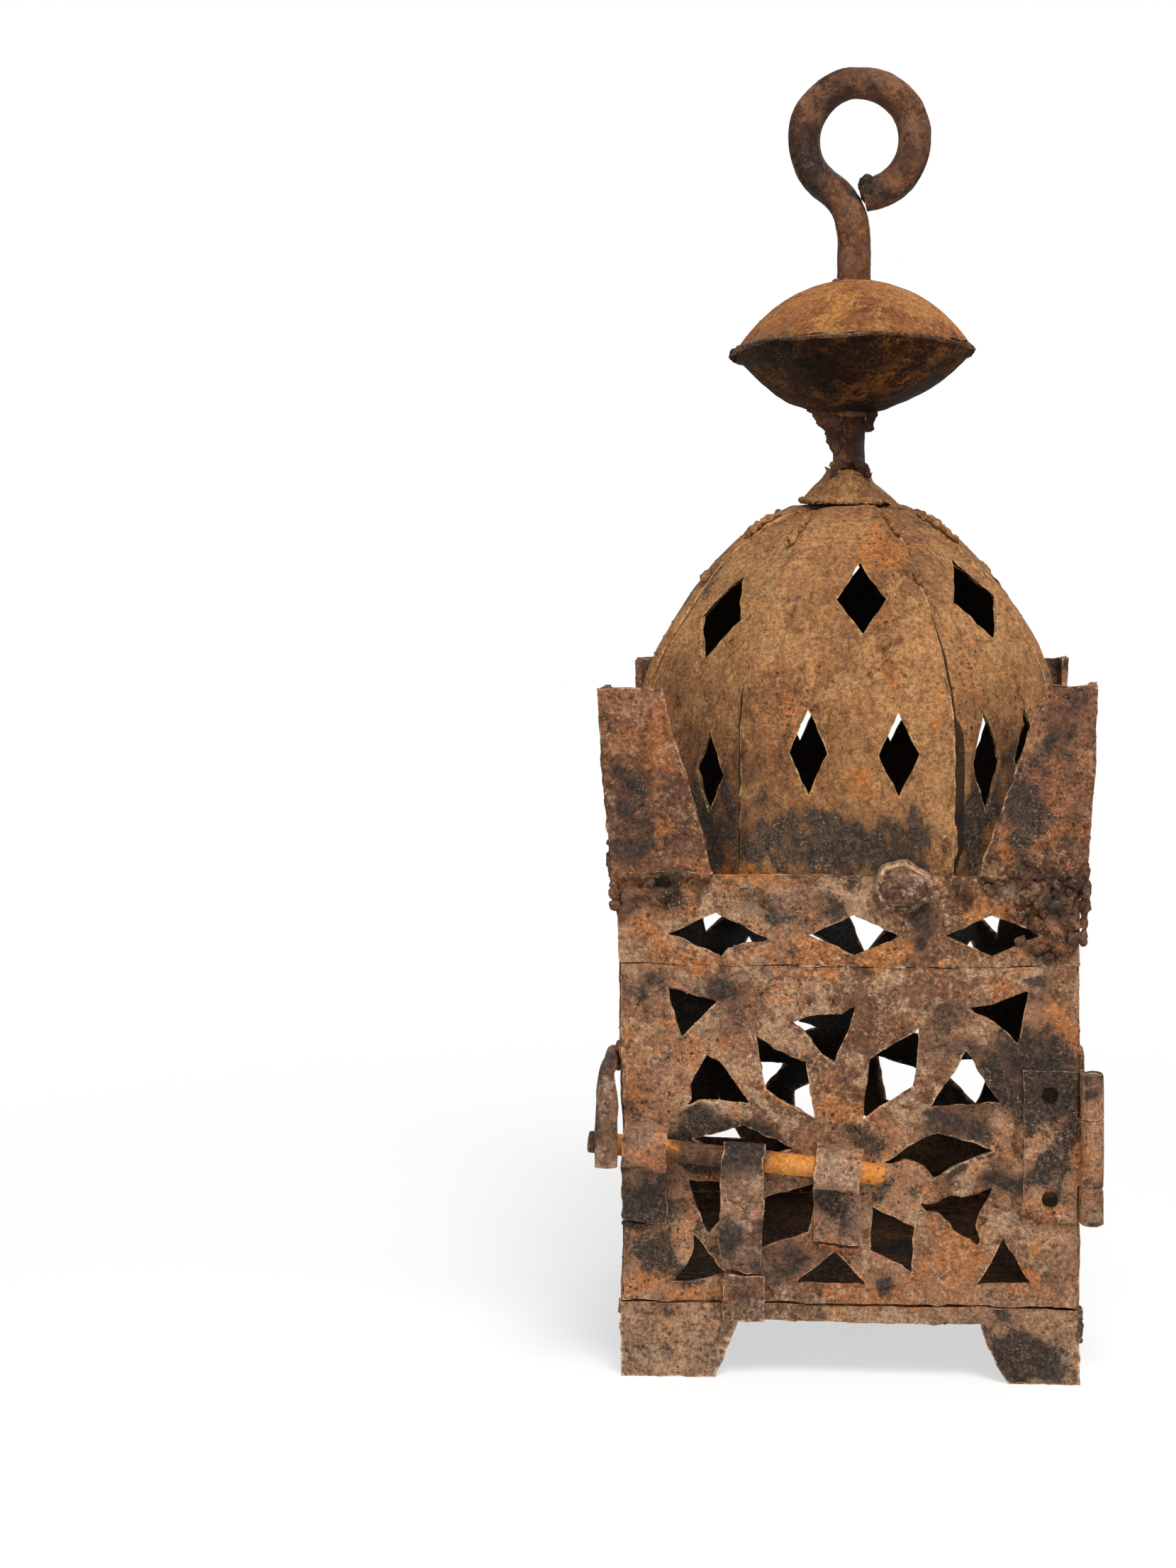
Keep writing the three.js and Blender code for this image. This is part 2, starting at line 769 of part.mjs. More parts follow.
function add_hinge() {
  const hinge = new THREE.Group();
  hinge.position.set(hinge_x, hinge_y, hinge_middle);
  lantern.add(hinge);
  const end = hinge_height / 2;
  const door_knuckles = [[bottom_knuckle - end + weld_gap, end - top_knuckle - weld_gap]];
  const wall_knuckles = [
    [-end, top_knuckle - end],
    [end - bottom_knuckle, end],
  ];
  add('hinge_door_leaf', hinge_leaf(-end, end, door_knuckles), 'brown_rust', hinge);
  // The wall's leaf is the same leaf turned over about the corner's diagonal.
  const wall_leaf = add('hinge_wall_leaf', hinge_leaf(-end - wall_leaf_rise, end, wall_knuckles), 'brown_rust', hinge);
  wall_leaf.quaternion.setFromAxisAngle(new THREE.Vector3(1, -1, 0).normalize(), Math.PI);
  add('hinge_pin', rod(pin_radius, hinge_height, 12), 'dark_iron', hinge).position.z = -end;
  const rivet_back = half - sheet - weld_gap - rivet_tail_height;
  ['lower', 'upper'].forEach((level, i) => {
    const height = hinge_middle + (i - 0.5) * rivet_spread;
    add(`door_leaf_${level}_rivet`, rivet(), 'dark_iron').position.set(hinge_x - rivet_x, -rivet_back, height);
    const wall_side = side_group(90);
    add(`wall_leaf_${level}_rivet`, rivet(), 'dark_iron', wall_side).position.set(rivet_x - hinge_x, -rivet_back, height);
  });
}

function add_door() {
  const reach = half - door_gap;
  const holes = [-1, 1].map((side) =>
    circle(hinge_x - rivet_x, hinge_middle + (side * rivet_spread) / 2, rivet_shank / 2 + weld_gap),
  );
  const cut_outs = as_paths(rosette(-rosette_drop));
  const shape = pierced(rectangle(-reach, reach, door_bottom, door_top), [...cut_outs, ...holes]);
  add('door_panel', upright(shape, sheet), 'brown_rust').position.set(0, -inner_half, 0);
  const stop = box(-stop_width / 2, stop_width / 2, -stop_sheet, 0, stop_foot, stop_top);
  add('door_stop', stop, 'rust').position.set(strap_x, -outer_face, 0);
}

function add_bolt() {
  const bolt = new THREE.Group();
  bolt.position.set(strap_x, rod_y, bolt_height);
  bolt.rotation.y = degrees(bolt_tilt);
  lantern.add(bolt);
  add('left_bolt_guide', bolt_guide(left_guide_width), 'rust', bolt).position.x = -left_guide_reach;
  add('right_bolt_guide', bolt_guide(right_guide_width), 'rust', bolt).position.x = right_guide_reach;
  const bar = rod(rod_radius, bolt_left + bolt_right, 16).rotateY(Math.PI / 2);
  add('bolt_rod', bar, 'worn_iron', bolt).position.x = -bolt_left;
  add('bolt_strap', bolt_strap(), 'rust', bolt).rotation.x = degrees(strap_lean);
  add('bolt_hook', bolt_hook(), 'brown_rust');
}

add_body();
add_dome();
add_finial();
add_hinge();
add_door();
add_bolt();

// The origin is the middle of the room that the lantern takes up on a table, hook and hinge included.
const turret_reach = outer_face + turret_sheet + turret_height * Math.tan(degrees(turret_flare));
const front_reach = -rod_y + rod_radius + running_gap + hook_width;
const left_reach = half + bolt_overhang;
const right_reach = hinge_x + barrel_radius;
lantern.position.set((left_reach - right_reach) / 2, (front_reach - turret_reach) / 2, 0);

export default lantern;
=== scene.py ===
"""Looks of the rusty wrought-iron ceiling lantern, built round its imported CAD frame.

The CAD pieces are cut from true sheet and bar. Here each one gets the unevenness that shears, hammer and
rust gave the real lantern, then its welds, crusts and finishes are added.
"""

import json
import math

import bpy
import numpy as np
from mathutils import Euler, Matrix, Vector


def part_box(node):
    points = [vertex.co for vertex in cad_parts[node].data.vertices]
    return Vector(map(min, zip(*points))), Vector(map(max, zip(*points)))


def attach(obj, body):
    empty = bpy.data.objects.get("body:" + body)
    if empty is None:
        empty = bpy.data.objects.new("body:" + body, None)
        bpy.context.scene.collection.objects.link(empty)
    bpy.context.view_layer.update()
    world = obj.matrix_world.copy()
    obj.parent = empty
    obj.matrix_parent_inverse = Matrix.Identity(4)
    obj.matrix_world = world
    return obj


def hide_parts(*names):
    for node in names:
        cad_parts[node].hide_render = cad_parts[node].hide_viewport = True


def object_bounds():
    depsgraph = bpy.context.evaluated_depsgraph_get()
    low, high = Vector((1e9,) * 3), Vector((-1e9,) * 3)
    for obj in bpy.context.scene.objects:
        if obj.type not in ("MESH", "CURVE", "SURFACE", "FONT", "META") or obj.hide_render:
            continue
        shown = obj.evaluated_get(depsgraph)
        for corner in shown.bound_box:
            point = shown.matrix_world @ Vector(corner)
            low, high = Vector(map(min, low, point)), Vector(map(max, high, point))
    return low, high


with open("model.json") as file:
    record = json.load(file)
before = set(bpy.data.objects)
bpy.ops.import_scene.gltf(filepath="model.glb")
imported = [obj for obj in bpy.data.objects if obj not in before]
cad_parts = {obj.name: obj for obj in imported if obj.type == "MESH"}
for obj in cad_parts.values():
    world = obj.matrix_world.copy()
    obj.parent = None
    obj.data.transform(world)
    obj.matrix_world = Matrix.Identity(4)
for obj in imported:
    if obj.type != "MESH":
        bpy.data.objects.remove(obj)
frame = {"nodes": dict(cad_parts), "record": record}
cad_low, cad_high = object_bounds()

MM = 0.001

# The lantern's own axis and front face, read from the frame
band_low, band_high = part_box("front_band")
axis_x = (band_low.x + band_high.x) / 2
axis_y = band_low.y + 100 * MM
dome_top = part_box("front_petal")[1].z


def at(x, y, z):
    """Place in the frame of a point in millimetres from the lantern's axis and the ground."""
    return Vector((axis_x + x * MM, axis_y + y * MM, z * MM))


def from_axis(points):
    """Points in millimetres from the lantern's axis and the ground."""
    return (points - np.array([axis_x, axis_y, 0])) / MM


def new_object(name, data):
    """An object of the scene, made from its data."""
    obj = bpy.data.objects.new(name, data)
    bpy.context.scene.collection.objects.link(obj)
    return obj


# Hanging bar and bulb as the CAD has them, in millimetres and degrees
bar_lean = 1.6
bulb_tilt = 7
bulb_radius = 55.5
bulb_height = 68.7
bulb_roll = 0.04
collar_height = 13.5
petal_half_angle = 25.5
petal_lap = 2
bar_frame = Matrix.Translation((axis_x, axis_y, dome_top)) @ Matrix.Rotation(math.radians(bar_lean), 4, "Y")
bulb_turn = Matrix.Rotation(math.radians(-bulb_tilt), 4, "X")
bulb_frame = bar_frame @ Matrix.Translation((0, 0, bulb_height * MM)) @ bulb_turn

petal_sides = ("front", "front_right", "right", "back_right", "back", "back_left", "left", "front_left")


# Mesh work on arrays, where points closer than this, in metres, are one
same_point = 2e-6


def piece_arrays(node):
    """Points and triangles of a CAD piece, with the points that lie on each other made one."""
    mesh = frame["nodes"][node].data
    mesh.calc_loop_triangles()
    points = np.empty(len(mesh.vertices) * 3)
    mesh.vertices.foreach_get("co", points)
    triangles = np.empty(len(mesh.loop_triangles) * 3, dtype=np.int32)
    mesh.loop_triangles.foreach_get("vertices", triangles)
    points = points.reshape(-1, 3)
    keys = np.round(points / same_point).astype(np.int64)
    _, first, merged = np.unique(keys, axis=0, return_index=True, return_inverse=True)
    triangles = merged.reshape(-1)[triangles].reshape(-1, 3)
    whole = (triangles[:, 0] != triangles[:, 1]) & (triangles[:, 1] != triangles[:, 2])
    whole &= triangles[:, 0] != triangles[:, 2]
    return points[first], triangles[whole]


def edge_table(triangles):
    """Each edge once, and for each triangle the numbers of its three edges."""
    sides = np.sort(triangles[:, [[0, 1], [1, 2], [2, 0]]].astype(np.int64), axis=2).reshape(-1, 2)
    many = int(sides.max()) + 1
    keys, numbers = np.unique(sides[:, 0] * many + sides[:, 1], return_inverse=True)
    return np.stack([keys // many, keys % many], 1), numbers.reshape(-1, 3)


def refine(points, triangles, longest):
    """Halves every edge over the longest length until none is left."""
    while True:
        edges, numbers = edge_table(triangles)
        length = np.linalg.norm(points[edges[:, 0]] - points[edges[:, 1]], axis=1)
        split = length > longest
        if not split.any():
            return points, triangles
        middle = np.full(len(edges), -1)
        middle[split] = len(points) + np.arange(split.sum())
        points = np.vstack([points, points[edges[split]].mean(axis=1)])
        marks = middle[numbers]
        cut = marks >= 0
        parts = [triangles[~cut.any(axis=1)]]
        for turn in range(3):
            a, b, c = (triangles[:, (turn + k) % 3] for k in range(3))
            ab, bc, ca = (marks[:, (turn + k) % 3] for k in range(3))
            cut_ab, cut_bc, cut_ca = (cut[:, (turn + k) % 3] for k in range(3))
            one = cut_ab & ~cut_bc & ~cut_ca
            two = cut_ab & cut_bc & ~cut_ca
            three = cut.all(axis=1) & (turn == 0)
            for chosen, pieces in (
                (one, ((a, ab, c), (ab, b, c))),
                (two, ((a, ab, c), (ab, bc, c), (ab, b, bc))),
                (three, ((a, ab, ca), (ab, b, bc), (ca, bc, c), (ab, bc, ca))),
            ):
                parts += [np.stack(corners, 1)[chosen] for corners in pieces]
        triangles = np.vstack(parts)


def face_normals(points, triangles):
    a, b, c = (points[triangles[:, k]] for k in range(3))
    normals = np.cross(b - a, c - a)
    return normals / np.maximum(np.linalg.norm(normals, axis=1, keepdims=True), 1e-12)


def point_normals(points, triangles):
    a, b, c = (points[triangles[:, k]] for k in range(3))
    area = np.cross(b - a, c - a)
    normals = np.zeros_like(points)
    for k in range(3):
        np.add.at(normals, triangles[:, k], area)
    return normals / np.maximum(np.linalg.norm(normals, axis=1, keepdims=True), 1e-12)


def sharp_points(points, triangles, angle):
    """True for the points on an edge that turns by more than the angle."""
    edges, numbers = edge_table(triangles)
    normals = face_normals(points, triangles)
    total = np.zeros((len(edges), 3))
    np.add.at(total, numbers.reshape(-1), np.repeat(normals, 3, axis=0))
    sharp = np.linalg.norm(total, axis=1) < 2 * math.cos(math.radians(angle) / 2)
    marked = np.zeros(len(points), dtype=bool)
    marked[edges[sharp].reshape(-1)] = True
    return marked


def soften(points, triangles, fixed, rounds):
    """Smooths the facets away, without shrinking, and leaves the fixed points alone."""
    edges, _ = edge_table(triangles)
    both = np.vstack([edges, edges[:, ::-1]])
    count = np.bincount(both[:, 0], minlength=len(points))[:, None]
    for step in range(rounds):
        pull = 0.5 if step % 2 == 0 else -0.52
        near = points[both[:, 1]]
        sums = [np.bincount(both[:, 0], weights=near[:, k], minlength=len(points)) for k in range(3)]
        moved = points + pull * (np.stack(sums, 1) / np.maximum(count, 1) - points)
        points = np.where(fixed[:, None], points, moved)
    return points


# How many sine waves a random field is made of
ripples = 20


def waves(points, span, seed):
    """A smooth random field of about unit size, whose hills are about one span wide, in millimetres."""
    random = np.random.default_rng(seed)
    directions = random.normal(size=(ripples, 3))
    directions /= np.linalg.norm(directions, axis=1, keepdims=True)
    pace = math.pi / (span * MM) * random.uniform(0.6, 1.5, size=ripples)
    turns = points @ (directions * pace[:, None]).T + random.uniform(0, 2 * math.pi, size=ripples)
    return np.sin(turns).sum(axis=1) * math.sqrt(2 / ripples)


def drift(points, span, seed):
    """The same kind of field in three directions, for moving points."""
    return np.stack([waves(points, span, seed + k) for k in range(3)], 1)


# Where the lantern is black with scale and smoke, and where shade is painted black between parts: the middle
# from its axis and the ground, half the width, half the height, all in millimetres, and how black
soot_and_shade_spots = (
    # Dome, front
    (-2, -93, 238, 26, 12, 1.1),
    (23, -92, 246, 12, 10, 1.0),
    (-41, -92, 237, 7, 15, 1.0),
    (-43, -90, 262, 6, 14, 0.6),
    (6, -92, 254, 14, 6, 0.45),
    (-22, -92, 234, 20, 12, 0.95),
    (10, -93, 230, 24, 10, 1.0),
    (31, -92, 233, 9, 11, 0.9),
    # The narrow petals beside the turrets: black scale with painted shade, darkest at their feet
    (-66, -66, 279, 8, 12, 0.55),
    (-60, -78, 240, 14, 30, 1.05),
    (57, -80, 240, 13, 28, 1.1),
    (72, -62, 262, 9, 24, 0.8),
    # Front left turret
    (-90, -104, 264, 7, 18, 0.95),
    (-95, -103, 234, 8, 5, 0.8),
    (-67, -103, 233, 7, 5, 0.75),
    # Front right turret
    (93, -105, 294, 10, 12, 0.9),
    (89, -104, 276, 8, 9, 1.05),
    (79, -104, 257, 7, 15, 1.0),
    (74, -104, 238, 5, 12, 0.8),
    (94, -104, 250, 6, 10, 0.5),
    # Band
    (-80, -100, 215, 10, 9, 1.0),
    (-98, -100, 205, 7, 12, 0.7),
    (-27, -100, 211, 18, 7, 0.62),
    (-4, -100, 209, 12, 6, 0.55),
    (34, -100, 203, 6, 14, 1.0),
    (87, -100, 215, 17, 12, 0.55),
    (88, -100, 192, 16, 6, 0.55),
    # Door, from the top down
    (-88, -100, 175, 14, 8, 0.75),
    (-52, -100, 172, 15, 9, 0.8),
    (-50, -100, 157, 9, 9, 0.7),
    (44, -100, 160, 9, 9, 0.62),
    (88, -100, 176, 12, 11, 0.7),
    (86, -100, 143, 18, 12, 1.15),
    (67, -100, 133, 11, 14, 1.0),
    (50, -100, 144, 15, 7, 0.7),
    (-72, -100, 146, 6, 9, 0.5),
    (46, -100, 115, 15, 8, 0.8),
    (8, -100, 108, 8, 5, 0.7),
    (22, -100, 90, 10, 4, 0.75),
    (51, -100, 98, 6, 4, 0.9),
    (70, -100, 88, 9, 7, 0.9),
    (-86, -100, 84, 11, 11, 1.0),
    (-84, -100, 53, 9, 14, 1.1),
    (-96, -100, 66, 6, 20, 0.8),
    (-32, -100, 53, 10, 11, 0.75),
    (17, -100, 43, 7, 8, 0.9),
    (-63, -100, 60, 6, 12, 0.6),
    (92, -100, 60, 6, 16, 0.45),
    # Hinge, bolt and strap
    (86, -103, 130, 15, 12, 1.6),
    (93, -103, 112, 8, 18, 1.2),
    (79, -103, 118, 6, 9, 0.9),
    (86, -103, 94, 13, 9, 1.2),
    (84, -103, 113, 9, 8, 0.7),
    (-60, -106, 105, 20, 10, 1.6),
    # Painted shade on the rod's end by the hook
    (-106, -106, 108, 12, 16, 1.6),
    (-88, -104, 82, 13, 14, 1.3),
    (-50, -106, 64, 8, 12, 0.85),
    (-6, -105, 78, 12, 12, 1.05),
    (-50, -104, 40, 8, 5, 0.6),
    # Feet
    (-86, -100, 29, 13, 6, 0.7),
    (78, -100, 12, 17, 10, 1.05),
    (63, -100, 25, 10, 6, 0.75),
    (94, -100, 5, 8, 8, 0.8),
    (-70, -100, 10, 9, 6, 0.35),
    # Bar
    (-13, 0, 526, 8, 8, 0.9),
    (0, 0, 573, 14, 5, 0.8),
    (14, 0, 527, 9, 8, 1.0),
    (32, 0, 548, 9, 12, 0.6),
    (4, 0, 407, 9, 9, 1.0),
    (5, 0, 428, 9, 7, 0.9),
    (30, 0, 530, 9, 9, 0.9),
    (9, 0, 528, 7, 8, 1.2),
    (-16, 0, 556, 6, 16, 0.5),
    # Bulb: the rim's ends, its underside, black with smoke and painted shade, and a place underneath that
    # stayed brown
    (-52, 0, 453, 8, 7, 1.0),
    (52, 0, 455, 8, 6, 1.0),
    (-30, -44, 446, 28, 16, 0.85),
    (24, -44, 446, 26, 15, -1.0),
)

# Where fresh rust is brightest: the same numbers, and how orange
orange_spots = (
    # Dome and turrets
    (3, -92, 267, 8, 8, 1.0),
    (-48, -85, 330, 10, 20, 0.6),
    (25, -70, 368, 22, 10, 0.6),
    (-20, -75, 365, 14, 10, 0.5),
    (-80, -104, 286, 12, 12, 0.8),
    (-84, -104, 240, 8, 12, 0.6),
    (66, -104, 236, 6, 14, 0.7),
    # Band
    # The band's top edge: bright rust with a painted highlight along it
    (-60, -100, 221, 32, 3, 1.0),
    (-12, -100, 190, 13, 6, 1.0),
    (18, -100, 190, 15, 7, 1.0),
    (-60, -100, 187, 20, 4, 0.8),
    (-90, -100, 195, 10, 10, 0.7),
    (60, -100, 207, 14, 6, 0.9),
    # Door
    (-70, -100, 40, 26, 6, 0.9),
    (15, -100, 38, 30, 4, 0.8),
    (43, -100, 57, 14, 15, 0.9),
    (78, -100, 50, 10, 9, 0.7),
    (-60, -100, 88, 9, 12, 0.9),
    (-95, -100, 140, 6, 20, 0.6),
    (92, -100, 158, 8, 12, 0.7),
    (4, -100, 120, 12, 10, 0.5),
    (104, -103, 104, 6, 30, 0.6),
    (34, -108, 224, 7, 9, 0.9),
    (-89, -109, 104, 12, 9, 0.9),
)


def marked(points, spots, start):
    """How much each point is marked by spots with frayed edges."""
    local = from_axis(points)
    frayed = local + 1.4 * drift(points, 8, 301) + 2.6 * drift(points, 19, 311)
    depth = np.full(len(points), start)
    for x, y, z, wide, high, share in spots:
        away = np.linalg.norm((frayed - (x, y, z)) / (wide, max(wide, 10), high), axis=1)
        near = share * np.clip(1.55 - away, 0, 1)
        depth = np.maximum(depth, near) if share > 0 else np.maximum(depth + near, 0)
    return depth


def soot_and_shade(points, smoke=0.0):
    """How black each point is: smoke all over, the spots, and random patches out of view."""
    local = from_axis(points)
    depth = marked(points, soot_and_shade_spots, smoke)
    hidden = np.clip((local[:, 1] + 60) / 60, 0, 1)
    hidden = np.maximum(hidden, np.clip((np.abs(local[:, 0]) - 99.5) / 3, 0, 1) * (local[:, 2] < 220))
    stray = np.clip(waves(points, 36, 5) * 0.75 - 0.35, 0, 1)
    return np.maximum(depth, stray * hidden)


# Where the front's cut-outs stand off their true pattern, as the chisel left them: the place on the front,
# how far round it the sheet is drawn, and the shift to the right and up, all in millimetres
chisel_slips = (
    (-68, 52, 15, 2.5, -2.5),
    (-18, 44.4, 8, -3.3, -0.5),
    (36, 82, 9, -2.9, -4.6),
    (62, 82, 8, 0.5, 3.2),
    (52, 62, 9, 5.0, 0.0),
    (19, 102, 8, -1.7, -4.0),
    (41.5, 94, 9, -3.4, -2.8),
    (58, 164.6, 8, -3.3, -0.7),
    (-60, 146.6, 8, -1.0, -3.0),
    (-72, 124.7, 8, 2.9, -2.0),
    (-22.5, 160.5, 7, -0.5, -2.6),
    (2.8, 162.7, 7, 0.0, 2.4),
    (-7.4, 140, 7, 2.4, 1.9),
    (-38.5, 197.3, 8, 2.9, -2.6),
    (-57.6, 188.4, 6, 2.2, -0.8),
    (1, 356, 9, 0.0, 3.2),
)
band_foot = 184.8
band_sag = 0.85


def hand_cut(points, *_):
    """Shifts the front's points by the slips, and lets the band's lower edge sag onto the door."""
    local = from_axis(points)
    move = np.zeros_like(points)
    for x, z, reach, right, up in chisel_slips:
        away = np.hypot(local[:, 0] - x, local[:, 2] - z) / reach
        move += (np.clip(1 - away**2, 0, 1) ** 2)[:, None] * (right, 0, up)
    above = local[:, 2] - band_foot
    move[:, 2] -= band_sag * np.clip(1 - above / 3, 0, 1) * (above > -0.3)
    return move, np.zeros(len(points))


def mesh_object(name, points, triangles, values):
    """A mesh of triangles, with its values kept on its points for the finish to read."""
    mesh = bpy.data.meshes.new(name)
    mesh.from_pydata(points.tolist(), [], triangles.tolist())
    for title, value in values.items():
        mesh.attributes.new(title, "FLOAT", "POINT").data.foreach_set("value", value.astype(np.float32))
    return new_object(name, mesh)


def shade(obj, angle):
    """Smooth shading, with the edges over the angle kept sharp."""
    obj.data.shade_smooth()
    obj.data.set_sharp_from_angle(angle=math.radians(angle))


# Heights where the body ends and the dome's inside has its middle
body_top = 230 * MM
dome_middle = 240 * MM


def facing_in(points, normals):
    """1 for the points whose surface faces the middle of the lantern, 0 for the rest."""
    to_middle = np.array([axis_x, axis_y, 0]) - points
    to_middle[:, 2] = np.where(points[:, 2] > body_top, dome_middle - points[:, 2], 0)
    to_middle /= np.maximum(np.linalg.norm(to_middle, axis=1, keepdims=True), 1e-9)
    return np.clip(1.6 * (normals * to_middle).sum(axis=1), 0, 1)


def body_of(node):
    """The body that a CAD piece belongs to."""
    return next(name for name, nodes in frame["record"]["behaviour"]["bodies"].items() if node in nodes)


# Turns, in degrees, over which an edge counts as cut, and over which sheets and lumps are shaded as sharp
cut_turn = 48
shade_turn = 40
lump_shade_turn = 60

crumb_radius = 0.55 * MM


def forged(
    node,
    slot,
    finish,
    facet,
    bow=0.0,
    bow_span=70,
    ragged=0.0,
    skin=0.0,
    soft=0,
    thin=0.0,
    inside_shade=0.0,
    smoke=0.0,
    crumbs=0.0,
    bend=None,
):
    """The piece as hand and rust left it. It stands for the CAD piece.

    bow bends the sheet, ragged wanders its cut edges, skin is the relief of its rust and thin draws its
    edges in, all in millimetres. hollow paints shade, near black, on what faces the lantern's middle,
    smoke blackens all of it, and crumbs is how many scabs of scale grow on a square centimetre. bend
    moves points further and says where shade is painted along seams. The same fields bend neighbours, so
    the pieces still meet.
    """
    points, triangles = piece_arrays(node)
    points, triangles = refine(points, triangles, facet * MM)
    edge = sharp_points(points, triangles, cut_turn)
    points = soften(points, triangles, edge, soft)
    normals = point_normals(points, triangles)
    rest = points
    points = rest + bow * MM * drift(rest, bow_span, 11) + 0.4 * ragged * MM * drift(rest, 13, 23)
    points = points + np.where(edge, ragged, 0)[:, None] * MM * 0.6 * drift(rest, 4.5, 37)
    relief = 0.6 * waves(rest, 7, 51) + 0.4 * waves(rest, 3.4, 67)
    points = points + (skin * MM * relief)[:, None] * normals
    points = points - np.where(edge, thin, 0)[:, None] * MM * normals
    painted_seam_shade = np.zeros(len(points))
    if bend:
        move, painted_seam_shade = bend(rest, normals, edge)
        points = points + move * MM
    points = np.clip(points, cad_low, cad_high)
    local = from_axis(rest)
    # Painted shade: the faces turned to the lantern's middle are coloured near black, more so higher up
    inner = inside_shade * facing_in(rest, normals) * ~edge
    upper = np.clip((local[:, 2] - 60) / 60, 0, 1)
    skylit = inner * upper * np.clip(0.35 + 0.5 * waves(rest, 26, 77), 0, 1) * (node == "back_wall")
    # No scabs grow where the bolt's rod and strap slide over the door
    swept = (local[:, 0] < 12) & (local[:, 1] < -99) & (local[:, 2] > 40) & (local[:, 2] < 116)
    values = {
        "soot_and_shade": soot_and_shade(rest, smoke),
        "orange": marked(rest, orange_spots, 0.0),
        # Cut edges: worn pale, and painted lighter still as the highlight that a rounded edge catches
        "wear_and_highlight": edge.astype(float),
        "inner": inner * (0.5 + 0.5 * upper),
        "skylit": skylit,
        "painted_seam_shade": painted_seam_shade,
        "bare": np.maximum(inner, swept),
    }
    obj = mesh_object(f"{node}_iron", points, triangles, values)
    shade(obj, shade_turn)
    obj.data.materials.append(finish)
    if crumbs:
        settings = {"Density": crumbs * 1e4, "Crumb": crumb_radius, "Seed": len(node), "Finish": finish}
        scabs = run_tree(scab_nodes, obj, settings, f"{node}_scabs")
        finish_piece(scabs, body_of(node))
    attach(obj, body_of(node))
    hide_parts(node)


# Finishes


def linear(hex_colour):
    """An sRGB hex colour as linear red, green, blue and alpha."""
    parts = [int(hex_colour[i : i + 2], 16) / 255 for i in (1, 3, 5)]
    return [c / 12.92 if c <= 0.04045 else ((c + 0.055) / 1.055) ** 2.4 for c in parts] + [1.0]


def per(size):
    """A texture's scale, on coordinates in metres, for marks of a size in millimetres."""
    return 1000 / size


def add(tree, kind, inputs=None, **settings):
    """Adds a node, with its settings, and its inputs as values or as links from other sockets."""
    node = tree.nodes.new(kind)
    for name, value in settings.items():
        setattr(node, name, value)
    for name, value in (inputs or {}).items():
        if isinstance(value, bpy.types.NodeSocket):
            tree.links.new(value, node.inputs[name])
        else:
            node.inputs[name].default_value = value
    return node


def cleared_tree(holder):
    """The node tree of a material or world, with nothing in it."""
    holder.use_nodes = True
    holder.node_tree.nodes.clear()
    return holder.node_tree


# How dull bare rust is, and how deep its crust
rust_roughness = 0.92
crust_depth = 1.8 * MM


